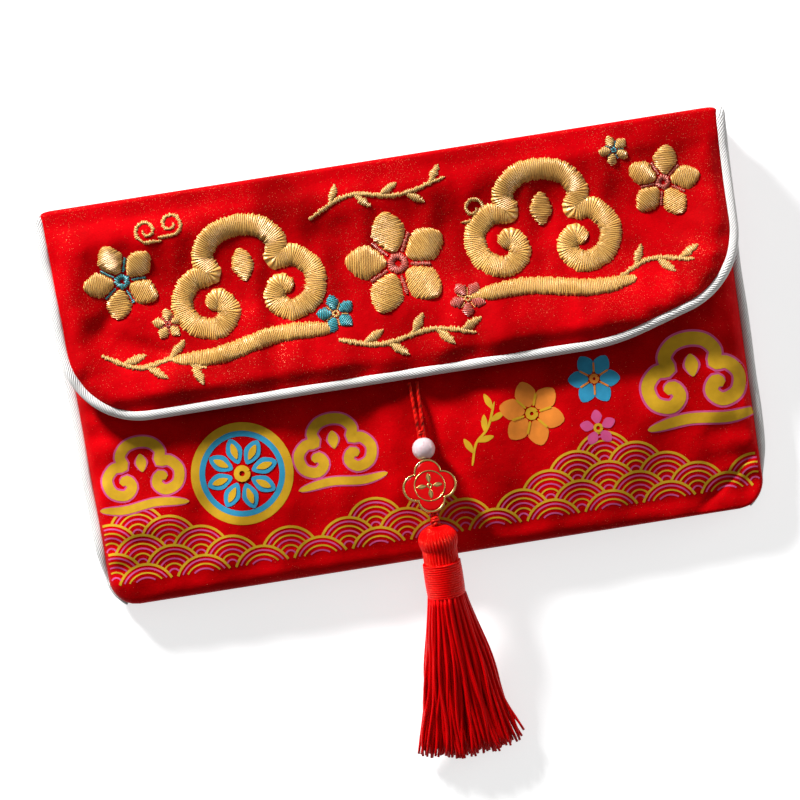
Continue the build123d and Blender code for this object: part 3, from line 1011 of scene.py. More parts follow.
@dataclass
class Flap:
    """Padded flap over the front: its upper half of the spine, its rounded free edge and its piping."""

    pouch: PouchBody
    reach: float = 61.6
    taper: float = 2.0
    left_corner: float = 21.0
    right_start: float = 58.0
    right_rise: float = 11.2
    right_corner: float = 22.0
    right_ease: float = 60.0
    fade: Spot = (2.0, 12.0)
    broad_wave: float = 0.8
    broad_length: float = 46.0
    settled_share: float = 1.3
    pucker: float = 0.6
    pucker_reach: float = 8.0
    edge_gathers: Triple = (3.1, 1.6, 15.0)
    gather_slant: float = 3.3
    fold_wave: float = 0.4
    fold_reach: float = 14.0
    fold_gathers: Triple = (6.5, 2.0, 21.0)
    right_lift: float = 2.6
    right_across: Spot = (46.0, 96.0)
    right_down: Spot = (26.0, 60.0)
    edge_lift: float = 1.4
    edge_across: Spot = (4.0, 34.0)
    edge_down: Spot = (22.0, 60.0)
    left_lift: float = 0.8
    left_across: Spot = (70.0, 97.0)
    left_down: Spot = (36.0, 60.0)
    curl: float = 0.9
    curl_across: Spot = (60.0, 96.0)
    curl_down: Spot = (25.0, 50.0)
    curl_line: float = 38.0
    curl_width: float = 6.0
    creases: tuple[tuple[float, float, float, float, float], ...] = (
        (-70.0, 43.0, 24.0, 14.0, 1.7),
        (-54.0, 49.0, 60.0, 9.0, 1.5),
        (-37.0, 51.0, 100.0, 7.0, 1.1),
        (-84.0, 33.0, -40.0, 10.0, 1.1),
        (-16.0, 26.0, 74.0, 14.0, 1.0),
        (20.0, 52.0, 80.0, 7.0, 1.0),
        (50.0, 49.0, 62.0, 9.0, 1.0),
        (76.0, 28.0, 38.0, 12.0, 0.9),
    )
    crease_width: float = 3.0
    hollows: tuple[Triple, ...] = ((-30.0, 22.0, 1.3), (54.0, 32.0, 2.4))
    hollow_start: Spot = (1.5, 10.0)
    hollow_end: Spot = (13.0, 40.0)
    magnet_r: float = 46.6
    calm_radius: float = 12.0
    crease_hold: float = 3.0
    edge_hold: float = 2.5
    thin_edge: float = 3.4
    edge_share: float = 0.42
    bend_reach: float = 2.4
    columns: int = 260
    rows: int = 110
    cloth: ClothSheet = ClothSheet(0.020, 0.05, 0.6, 22)

    def __post_init__(self) -> None:
        """Works out the flap's edge line and the tilt of its plane, and lets its cloth settle."""
        p = self.pouch
        self.tilt = float(np.arctan((p.mouth_height - p.foot_height) / (p.mouth_y - p.foot_y)))
        self.edge = self.reach - p.piping_radius - p.piping_stand
        self.outline = self.edge_line(0.0)
        self.relief = self.cloth.settle(-p.mouth_half, p.mouth_half, 0.0, self.edge, self.sewn)

    def sewn(self, x: Array, r: Array) -> Array:
        """Where the flap's cloth is held fast: along the crease and along its sewn edge."""
        return (r < self.crease_hold) | (self.edge_distance(x, r) < self.edge_hold)

    def edge_line(self, stand: float) -> Array:
        """Edge of the flap from the left crease round to the right one: straight runs joined by arcs.

        Args:
            stand: How far outside the sewn edge the line runs.

        Returns:
            Points (x, r), with r the distance down from the crease.
        """
        top = self.pouch.mouth_half + stand
        low = top - self.taper
        edge = self.edge + stand
        corners = np.array([
            [-top, 0.0], [-low, edge], [self.right_start, edge], [low, edge - self.right_rise], [top, 0.0]
        ])
        radii = [self.left_corner + stand, self.right_ease, self.right_corner + stand]
        line = [corners[:1]]
        for before, at, after, radius in zip(corners, corners[1:], corners[2:], radii):
            back = (before - at) / np.linalg.norm(before - at)
            on = (after - at) / np.linalg.norm(after - at)
            half = np.arccos(np.clip(back @ on, -1, 1)) / 2
            centre = at + (back + on) / np.linalg.norm(back + on) * radius / np.sin(half)
            start = at + back * radius / np.tan(half) - centre
            end = at + on * radius / np.tan(half) - centre
            first = np.arctan2(start[1], start[0])
            sweep = (np.arctan2(end[1], end[0]) - first + np.pi) % FULL_TURN - np.pi
            turn = first + sweep * np.linspace(0, 1, 24)
            line.append(centre + radius * joined(np.cos(turn), np.sin(turn)))
        return np.concatenate([*line, corners[-1:]])

    def sides(self, r: Array) -> tuple[Array, Array]:
        """Left and right ends of the flap's row at a distance down from the crease.

        Args:
            r: Distances down from the crease.

        Returns:
            Places x of the left and the right end.
        """
        down = self.outline[:, 1]
        lowest = int(np.argmax(down))
        split = int(np.flatnonzero(down >= down[lowest] - 1e-6)[-1])
        left, right = self.outline[: lowest + 1], self.outline[split:][::-1]
        return np.interp(r, left[:, 1], left[:, 0]), np.interp(r, right[:, 1], right[:, 0])

    def edge_distance(self, x: Array, r: Array) -> Array:
        """Rough distance of a point to the flap's sewn edge, in millimetres."""
        left, right = self.sides(r)
        return np.minimum(np.minimum(x - left, right - x), self.edge - r)

    def lift(self, x: Array, r: Array) -> Array:
        """How far the flap's middle sheet leaves its plane: soft folds, raised corners, hollows and creases.

        Args:
            x: Places across.
            r: Distances down from the crease.

        Returns:
            Heights in millimetres.
        """
        calm = 1 - bell(x, self.calm_radius) * bell(r - self.magnet_r, self.calm_radius)
        broad = self.broad_wave * ripples(x, r, self.broad_length, 21)
        broad = broad + self.settled_share * self.relief.at(x, r)
        edge = np.clip(self.edge_distance(x, r), 0, None)
        pucker = np.exp(-edge / self.pucker_reach) * gathers(x, *self.edge_gathers, r / self.gather_slant)
        pucker = self.pucker * pucker * (0.6 + 0.4 * np.sin(x / 24.0 + 1.0))
        near_fold = np.exp(-np.clip(r, 0, None) / self.fold_reach)
        fold_waves = self.fold_wave * near_fold * gathers(x, *self.fold_gathers)
        raised = self.right_lift * smooth(x, *self.right_across) * smooth(r, *self.right_down)
        raised = raised + self.edge_lift * smooth(np.abs(x), *self.edge_across) * smooth(r, *self.edge_down)
        raised = raised + self.left_lift * smooth(-x, *self.left_across) * smooth(r, *self.left_down)
        curl = bell(x - r - self.curl_line, self.curl_width)
        raised = raised - self.curl * curl * smooth(x, *self.curl_across) * smooth(r, *self.curl_down)
        hollow = smooth(r, *self.hollow_start) * (1 - smooth(r, *self.hollow_end))
        for at_x, width, depth in self.hollows:
            raised = raised - depth * hollow * bell(x - at_x, width)
        for at_x, at_r, heading, half, depth in self.creases:
            a = np.radians(heading)
            on = (x - at_x) * np.cos(a) + (r - at_r) * np.sin(a)
            off = (r - at_r) * np.cos(a) - (x - at_x) * np.sin(a)
            raised = raised - depth * bell(on, half) * bell(off, self.crease_width)
        return smooth(r, *self.fade) * (calm * (broad + pucker) + fold_waves + raised)

    def half_sheet(self, x: Array, r: Array) -> Array:
        """Half thickness of the pad: full inside, rounded off to a thin sewn edge."""
        full = rounded(self.edge_distance(x, r) / self.thin_edge)
        return self.pouch.sheet / 2 * (self.edge_share + (1 - self.edge_share) * full)

    def place(self, x: Array, r: Array, over: Array) -> Array:
        """Point on the flap, at a height over its raised middle sheet.

        Args:
            x: Places across.
            r: Distances down from the crease.
            over: Heights over the middle sheet.

        Returns:
            Points in the frame.
        """
        up = self.lift(x, r) + over
        y = self.pouch.crease_y - r * np.cos(self.tilt) - up * np.sin(self.tilt)
        z = self.pouch.flap_crease_z - r * np.sin(self.tilt) + up * np.cos(self.tilt)
        return joined(x, y, z)

    def build_pad(self) -> None:
        """Builds the flap with the upper half of the spine as one pad that bends at the upper crease.

        Both skins have three parts: the rise of the spine, a quarter turn at the crease, and the flap.
        """
        p = self.pouch
        r = self.edge * np.sin(np.linspace(0, 1, self.rows) * np.pi / 2) ** 0.9
        left, right = self.sides(r)
        x = left[:, None] + (right - left)[:, None] * (0.5 + 0.5 * crowded(self.columns))
        grid_r = np.broadcast_to(r[:, None], x.shape)
        half = self.half_sheet(x, grid_r)
        row, thick = x[0], half[0]
        rise = np.linspace(p.spine_split_z, p.flap_crease_z, 12)[:, None]
        turn = np.linspace(0, np.pi / 2, 14)[1:-1, None]
        upper, lower = self.place(x, grid_r, half), self.place(x, grid_r, -half)
        inner_rise = joined(row, p.crease_y - thick, rise)
        tuck = np.linspace(0, 1, len(turn))[:, None, None]
        inner_bend = inner_rise[-1] + (lower[0] - inner_rise[-1]) * tuck
        outer_bend = joined(row, p.crease_y + thick * np.cos(turn), p.flap_crease_z + thick * np.sin(turn))
        draft = Draft("flap_pad")
        draft.shell(
            np.concatenate([joined(row, p.crease_y + thick, rise), outer_bend, upper]),
            np.concatenate([inner_rise, inner_bend, lower]),
        )
        piece = draft.build(p.back_satin)
        set_piece(piece, None, Slot.FLAP, "flap_panel", "flap_wadding", "flap_lining")
        self.bend(piece)

    def bend(self, piece: Piece) -> None:
        """Bakes a piece's transform into its mesh.

        Args:
            piece: The piece.
        """
        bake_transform(piece)

    def build_piping(self) -> None:
        """Builds the piping up the spine's ends and round the flap's free edge."""
        p = self.pouch
        line = resample(self.edge_line(p.piping_stand), 520)
        line = line[line[:, 1] > 2.6]
        path = self.place(line[:, 0], line[:, 1], np.zeros(len(line)))
        post = np.array([
            [0, p.crease_y, p.spine_split_z],
            [0, p.crease_y, p.flap_crease_z - 3.2],
            [0, p.crease_y - 0.35, p.flap_crease_z - 1.0],
            [0, p.crease_y - 1.2, p.flap_crease_z - 0.15],
        ])
        side = (p.mouth_half + p.piping_stand) * ACROSS
        path = curve_through(np.concatenate([post - side, path[::4], post[::-1] + side]), 640)
        draft = Draft("flap_piping")
        inside = np.array([0.0, p.crease_y - 30.0, p.flap_crease_z - 12.0])
        draft.tube(path, p.piping_radius, 14, up=inside - path)
        piece = draft.build(p.twill)
        nodes = (f"{part}_piping_{layer}" for part in ("flap", "spine") for layer in ("cover", "core"))
        set_piece(piece, None, Slot.PIPING, *nodes)
        self.bend(piece)


@dataclass
class Stroke:
    """One stroke of stitching or print: a middle line in the flat, its half width along it and a colour."""

    line: Array
    half: Array
    thread: Thread
    layer: int = 0

    def moved(self, at: Spot, turn: float = 0.0, size: float = 1.0, flip: bool = False) -> "Stroke":
        """The stroke at another place.

        Args:
            at: Place of its origin.
            turn: Turn in degrees.
            size: Scale of line and width.
            flip: Whether it is mirrored in x first.

        Returns:
            The moved stroke.
        """
        line = self.line * [-size if flip else size, size]
        a = np.radians(turn)
        line = line @ np.array([[np.cos(a), np.sin(a)], [-np.sin(a), np.cos(a)]]) + at
        return Stroke(line, self.half * size, self.thread, self.layer)

    def spread(self, step: float, least: int) -> tuple[Array, Array, Array]:
        """The stroke at even steps.

        Args:
            step: Length of a step.
            least: Least number of points.

        Returns:
            Its points, its half widths and the lengths along it.
        """
        run = run_along(self.line)
        along = np.linspace(0, run[-1], max(least, int(run[-1] / step)))
        return resample(self.line, len(along)), np.interp(along, run, self.half), along


def taper(count: int, half: float, start: float = 0.35, end: float = 0.35, ease: float = 0.16) -> Array:
    """Half width along a stroke: full in the middle, rounded off to a share at both ends.

    Args:
        count: Number of places.
        half: Full half width.
        start: Share of it left at the start.
        end: Share of it left at the end.
        ease: Share of the length that each rounding takes.

    Returns:
        Half widths.
    """
    t = np.linspace(0, 1, count)
    first = start + (1 - start) * rounded(t / ease)
    last = end + (1 - end) * rounded((1 - t) / ease)
    return half * np.minimum(first, last)


def band(line: Array, half: Array, share: Array) -> Array:
    """Points across a stroke, drawn in on the inner side of tight turns so that its band never folds over.

    Args:
        line: Points of the stroke's middle line.
        half: Half width at each point.
        share: Places across as shares of the half width, from -1 to 1.

    Returns:
        Grid of points, one row a point of the line.
    """
    heading, step = headings(line)
    normal = joined(-np.sin(heading), np.cos(heading))
    bend = np.gradient(np.unwrap(heading)) / step
    inner = np.minimum(half, 0.9 / np.maximum(np.abs(bend), 1e-6))
    wide = np.where(share * bend[:, None] > 0, inner[:, None], half[:, None])
    return line[:, None] + (wide * share)[..., None] * normal[:, None]


class Motif:
    """Traditional ornaments as strokes about their own origin, in millimetres."""

    @staticmethod
    def petals(count: int, inner: float, outer: float, half: float, thread: Thread) -> list[Stroke]:
        """A ring of leaf-shaped petals.

        Args:
            count: Number of petals.
            inner: Distance of their roots from the middle.
            outer: Distance of their tips.
            half: Half width at the widest place.
            thread: Colour.

        Returns:
            One stroke a petal.
        """
        t = np.linspace(0, 1, 40)
        width = half * np.sqrt(np.clip(np.sin(np.pi * t**0.62), 0, 1)) * (0.45 + 0.55 * smooth(t, 0.0, 0.6))
        petal = Stroke(joined(t * 0, inner + (outer - inner) * t), np.maximum(width, 0.12 * half), thread)
        return [petal.moved((0, 0), 360 * k / count) for k in range(count)]

    @staticmethod
    def ring(radius: float, half: float, thread: Thread) -> Stroke:
        """A round line.

        Args:
            radius: Radius of its middle line.
            half: Half width.
            thread: Colour.

        Returns:
            The stroke.
        """
        a = np.radians(360.0 * np.linspace(0, 1, int(max(40, radius * 9))))
        return Stroke(radius * joined(np.cos(a), np.sin(a)), np.full(len(a), half), thread)

    @staticmethod
    def curl(radius: float, turns: float, half: float, thread: Thread, tail: float) -> Stroke:
        """A spiral that opens from its middle, with a tail that runs on level.

        Args:
            radius: Radius where the spiral ends, at its lowest point.
            turns: Number of turns.
            half: Half width.
            thread: Colour.
            tail: Length of the tail.

        Returns:
            The stroke.
        """
        t = np.linspace(0, 1, 60)
        a = -np.pi / 2 - FULL_TURN * turns * (1 - t)
        line = (radius * (0.22 + 0.78 * t**0.9))[:, None] * joined(np.cos(a), np.sin(a))
        line = np.concatenate([line, line[-1] + np.linspace(0, 1, 14)[1:, None] * [tail, 0.0]])
        return Stroke(resample(line, 110), taper(110, half), thread)

    @staticmethod
    def cloud(half: float, thread: Thread) -> list[Stroke]:
        """A three-lobed cloud head with curled ends over a drifting wisp, about 32 mm wide and 29 mm high.

        Args:
            half: Half width of the strokes.
            thread: Colour.

        Returns:
            The strokes.
        """
        left = np.array([
            (0.0, 14.5), (-5.5, 13.2), (-8.8, 9.2), (-7.8, 5.0), (-12.2, 4.6), (-15.8, 0.2), (-14.2, -5.6),
            (-8.8, -7.6), (-5.4, -4.4), (-7.4, -1.0), (-10.0, -2.6),
        ])
        head = curve_through(np.concatenate([left[::-1], left[1:] * [-1, 1]]), 260)
        wisp = curve_through(np.array([(-21.0, -12.4), (-10.0, -13.8), (4.0, -12.4), (18.0, -14.2)]), 80)
        return [
            Stroke(head, taper(260, half, 0.4, 0.4, 0.05), thread),
            Stroke(wisp, taper(80, half * 0.8, 0.1, 0.1, 0.3), thread),
            *Motif.petals(1, 1.5, 9.2, half * 1.15, thread),
        ]

    @staticmethod
    def blossom(radius: float, petal: Thread, heart: Thread, count: int = 5) -> list[Stroke]:
        """A blossom with a ring for its heart and stamens between the petals.

        Args:
            radius: Reach of the petals.
            petal: Colour of the petals.
            heart: Colour of heart and stamens.
            count: Number of petals.

        Returns:
            The strokes.
        """
        strokes = Motif.petals(count, radius * 0.22, radius, radius * 0.36, petal)
        strokes.append(Motif.ring(radius * 0.13, radius * 0.07, heart))
        for k in range(count):
            a = np.radians(90 + 360 * (k + 0.5) / count)
            line = np.linspace(0.24, 0.62, 16)[:, None] * radius * np.array([np.cos(a), np.sin(a)])
            strokes.append(Stroke(line, taper(16, radius * 0.035, 0.6, 1.0), heart))
        return strokes

    @staticmethod
    def sprig(points: list[Spot], half: float, leaves: int, leaf: float, thread: Thread) -> list[Stroke]:
        """A stem with leaves on alternate sides.

        Args:
            points: Points that the stem passes.
            half: Half width of the stem.
            leaves: Number of leaves.
            leaf: Length of a leaf.
            thread: Colour.

        Returns:
            The strokes.
        """
        stem = curve_through(np.array(points, float), 80)
        strokes = [Stroke(stem, taper(80, half, 0.5, 0.2), thread)]
        heading = np.degrees(headings(stem)[0])
        blade = Motif.petals(1, 0.0, leaf, leaf * 0.2, thread)[0]
        for k in range(leaves):
            place = int(79 * (k + 1) / (leaves + 0.6))
            side = -1 if k % 2 else 1
            strokes.append(blade.moved(tuple(stem[place]), heading[place] - 90 + side * 42))
        return strokes


def group(
    strokes: list[Stroke], at: Spot, turn: float = 0.0, size: float = 1.0, flip: bool = False
) -> list[Stroke]:
    """Moves a list of strokes together, as Stroke.moved does one, each laid on those before it."""
    return [replace(s.moved(at, turn, size, flip), layer=k) for k, s in enumerate(strokes)]


class Artwork(ABC):
    """A design of strokes laid on a padded surface as one piece."""

    @abstractmethod
    def layout(self) -> list[Stroke]:
        """The strokes of the whole design in the flat, in the order that they are laid."""

    @abstractmethod
    def lay(self, stroke: Stroke) -> tuple[Array, Array]:
        """Grids of a stroke's points on the surface and of its texture places."""

    def lay_all(self, name: str, body: str, slot: Slot, finishes: dict[Thread, Material]) -> None:
        """Lays every stroke of the layout in order and sets the piece.

        Args:
            name: Name of the piece.
            body: Body that the piece rides on.
            slot: Material slot of the record.
            finishes: Material of each thread or ink.
        """
        kinds = {thread: k for k, thread in enumerate(finishes)}
        draft = Draft(name)
        for stroke in self.layout():
            draft.grid(*self.lay(stroke), kinds[stroke.thread])
        set_piece(draft.build(*finishes.values(), closed=False), body, slot)


@dataclass
class FlapStitching(Artwork):
    """Raised satin stitch on the flap: clouds, blossoms and sprigs in gold, with a few coloured ones."""

    flap: Flap
    crown: float = 1.25
    step: float = 0.23
    across: int = 11
    ragged: float = 0.34
    sunk: float = 0.12

    def __post_init__(self) -> None:
        """Starts the random draws of the ragged edges."""
        self.rng = np.random.default_rng(5)

    def layout(self) -> list[Stroke]:
        """The whole design in the flap's plane: x across, and the second number up from the flap's middle.

        Returns:
            The strokes.
        """
        gold, pale, cyan, coral = Thread.GOLD, Thread.PALE_GOLD, Thread.CYAN, Thread.CORAL
        strokes = group(Motif.blossom(15.0, gold, coral), (1.0, 1.0), 8.0)
        for at, turn, flip in (((-42.0, 1.0), 5.0, False), ((43.0, 3.5), -5.0, True)):
            strokes += group(Motif.cloud(2.5, gold), at, turn, 1.22, flip)
        strokes += group(Motif.blossom(11.0, gold, cyan), (-77.0, 8.0), 20.0)
        strokes += group(Motif.blossom(10.5, gold, coral), (79.0, 12.0), -14.0)
        for points, half, leaves, leaf in (
            ([(-86, -12), (-76, -17), (-66, -16), (-57, -20)], 0.75, 4, 7.0),
            ([(-19, -18), (-7, -21), (8, -19), (20, -22)], 0.75, 5, 7.0),
            ([(62, -13), (72, -9), (84, -11)], 0.7, 3, 6.5),
            ([(-22, 17), (-10, 22), (4, 20), (18, 23)], 0.65, 5, 6.0),
        ):
            strokes += Motif.sprig(points, half, leaves, leaf, pale)
        for radius, petal, heart, at, turn in (
            (5.6, cyan, pale, (-18.5, -10.5), 10.0),
            (5.2, coral, pale, (19.0, -12.0), 30.0),
            (4.6, pale, coral, (-66.0, -6.0), 0.0),
            (4.4, pale, cyan, (66.5, 23.0), 18.0),
        ):
            strokes += group(Motif.blossom(radius, petal, heart), at, turn)
        for at, flip in (((-68.0, 21.0), False), ((24.5, 13.0), True), ((-61.0, 22.0), True)):
            strokes += group([Motif.curl(3.4, 1.3, 0.5, pale, 4.0)], at, flip=flip)
        return strokes

    def lay(self, stroke: Stroke) -> tuple[Array, Array]:
        """Lays a stroke as a crowned band whose edge is ragged at the threads' pitch.

        Args:
            stroke: The stroke.

        Returns:
            Grids of its points and of its texture places.
        """
        line, half, along = stroke.spread(self.step, 14)
        share = np.linspace(-1, 1, self.across)
        rag = 1 + self.ragged / np.maximum(half, 0.6)[:, None] * self.rng.uniform(-1, 1, (len(line), 2))
        offset = half[:, None] * np.where(share < 0, rag[:, :1], rag[:, 1:]) * share
        heading = headings(line)[0][:, None]
        x = line[:, :1] - offset * np.sin(heading)
        r = self.flap.edge / 2 - (line[:, 1:] + offset * np.cos(heading))
        rise = np.minimum(self.crown, 0.3 + 0.4 * half)[:, None] * np.sqrt(1 - (share * 0.995) ** 2)
        over = self.flap.half_sheet(x, r) + rise - self.sunk
        return self.flap.place(x, r, over), joined(along[:, None], offset)

    def build(self) -> None:
        """Builds the stitching, which rides on the flap."""
        threads = (Thread.GOLD, Thread.PALE_GOLD, Thread.CYAN, Thread.CORAL)
        finishes = {t: StitchedThread(f"stitch_{t.name.lower()}", t.value).make() for t in threads}
        self.lay_all("flap_stitching", "flap", Slot.FLAP, finishes)


@dataclass
class FrontPrint(Artwork):
    """Flat print on the front: heaped wave scales in fine lines, a round lattice, clouds and blossoms."""

    pouch: PouchBody
    over: float = 0.07
    layer_step: float = 0.02
    step: float = 0.7
    scale_radius: float = 8.4
    scale_lines: tuple[float, ...] = (0.98, 0.84, 0.69, 0.53, 0.36, 0.18)
    heaps: tuple[Triple, ...] = ((3.5, 56.0, 26.0), (3.5, -90.0, 22.0), (1.8, -14.0, 24.0))
    least_heap: float = 0.9
    plain_foot: float = 6.0
    side_gap: float = 1.0
    outer_half: float = 0.36
    fine_half: float = 0.24
    least_points: int = 5

    def waves(self) -> list[Stroke]:
        """Rows of wave scales heaped up at the foot: nested arcs, each cut off where a nearer row covers it.

        Returns:
            The strokes.
        """
        size, p = self.scale_radius, self.pouch
        rows, columns = np.meshgrid(np.arange(7), np.arange(-7, 8), indexing="ij")
        centre_x = 2 * size * (columns + 0.5 * (rows % 2))
        centre_y = p.foot_y + self.plain_foot + size * 0.5 * (rows - 0.8)
        heap = self.least_heap + sum(high * bell(centre_x - at, wide) for high, at, wide in self.heaps)
        shown = rows < heap
        turn = np.radians(np.linspace(0, 180, 60))
        strokes: list[Stroke] = []
        for row, cx, cy in zip(rows[shown], centre_x[shown], centre_y[shown]):
            front = shown & (rows < row)
            for k, radius in enumerate(size * np.array(self.scale_lines)):
                line = joined(cx + radius * np.cos(turn), cy + radius * np.sin(turn))
                away = np.hypot(line[:, :1] - centre_x[front], line[:, 1:] - centre_y[front]) > size
                keep = away.all(1) & (line[:, 1] > p.foot_y + self.plain_foot)
                keep &= np.abs(line[:, 0]) < p.half_width(line[:, 1]) - self.side_gap
                thread = Thread.PRINT_PINK if k % 2 else Thread.PRINT_GOLD
                half = self.fine_half if k else self.outer_half
                edges = np.flatnonzero(np.diff(np.concatenate([[0], keep.astype(int), [0]])))
                for a, b in zip(edges[::2], edges[1::2]):
                    if b - a >= self.least_points:
                        strokes.append(Stroke(line[a:b], np.full(b - a, half), thread))
        return strokes

    def layout(self) -> list[Stroke]:
        """The whole design in plan, x across and y up.

        Returns:
            The strokes.
        """
        gold, pink = Thread.PRINT_GOLD, Thread.PRINT_PINK
        blue, orange = Thread.PRINT_BLUE, Thread.PRINT_ORANGE
        strokes = self.waves()
        lattice = [Motif.ring(13.4, 1.2, gold), Motif.ring(11.4, 0.8, blue)]
        lattice += Motif.petals(8, 3.0, 10.4, 2.6, blue) + Motif.petals(8, 4.4, 9.0, 1.1, gold)
        strokes += group([*lattice, Motif.ring(1.6, 0.8, gold)], (-52.0, -25.0), 11.0)
        for at, size, flip in (
            ((-80.0, -21.0), 0.66, False), ((-25.0, -23.0), 0.66, True), ((79.0, -19.0), 0.84, True)
        ):
            strokes += group(Motif.cloud(3.0, pink) + Motif.cloud(2.2, gold), at, 0.0, size, flip)
        strokes += group(Motif.blossom(9.4, orange, gold, 6), (32.0, -21.0), 10.0)
        strokes += group(Motif.blossom(7.4, blue, orange, 6), (51.0, -14.0), 24.0)
        strokes += group([*Motif.petals(5, 1.2, 5.2, 1.7, pink), Motif.ring(1.0, 0.4, gold)], (50.0, -28.0))
        strokes += Motif.sprig([(13, -33), (15, -27), (19, -23), (22, -16)], 0.35, 5, 5.0, gold)
        return strokes

    def lay(self, stroke: Stroke) -> tuple[Array, Array]:
        """Lays a stroke as a thin band on the front, later layers a little over earlier ones.

        Args:
            stroke: The stroke.

        Returns:
            Grids of its points and of its texture places.
        """
        line, half, _ = stroke.spread(self.step, 10)
        flat = band(line, half, np.linspace(-1, 1, 5 if half.max() > 0.6 else 3))
        x, y = flat[..., 0], flat[..., 1]
        return joined(x, y, self.pouch.front(x, y) + self.over + self.layer_step * stroke.layer), flat

    def build(self) -> None:
        """Builds the print, which rides on the pouch."""
        inks = (Thread.PRINT_GOLD, Thread.PRINT_PINK, Thread.PRINT_BLUE, Thread.PRINT_ORANGE)
        finishes = {t: Ink(t.name.lower(), t.value).make() for t in inks}
        self.lay_all("front_print", "pouch", Slot.FRONT, finishes)


@dataclass(frozen=True)
class Axis:
    """A line that lies in the plane across X and runs down the front, with its own upward direction."""

    start: Triple
    climb: float

    @property
    def on(self) -> Array:
        """Direction along the axis, which climbs by its angle in degrees."""
        return np.array([0.0, -np.cos(np.radians(self.climb)), np.sin(np.radians(self.climb))])

    @property
    def up(self) -> Array:
        """Direction square to the axis and to X."""
        return np.array([0.0, np.sin(np.radians(self.climb)), np.cos(np.radians(self.climb))])

    def at(self, x: Array | float, up: Array | float, along: Array | float) -> Array:
        """Points at distances across, up from and along the axis."""
        x, up, along = (part[..., None] for part in np.broadcast_arrays(x, up, along))
        return np.array(self.start) + x * ACROSS + up * self.up + along * self.on

    def round(self, radius: Array | float, turn: Array, along: Array | float) -> Array:
        """Points at a radius round the axis, by the angle and the distance along it."""
        return self.at(radius * np.cos(turn), radius * np.sin(turn), along)


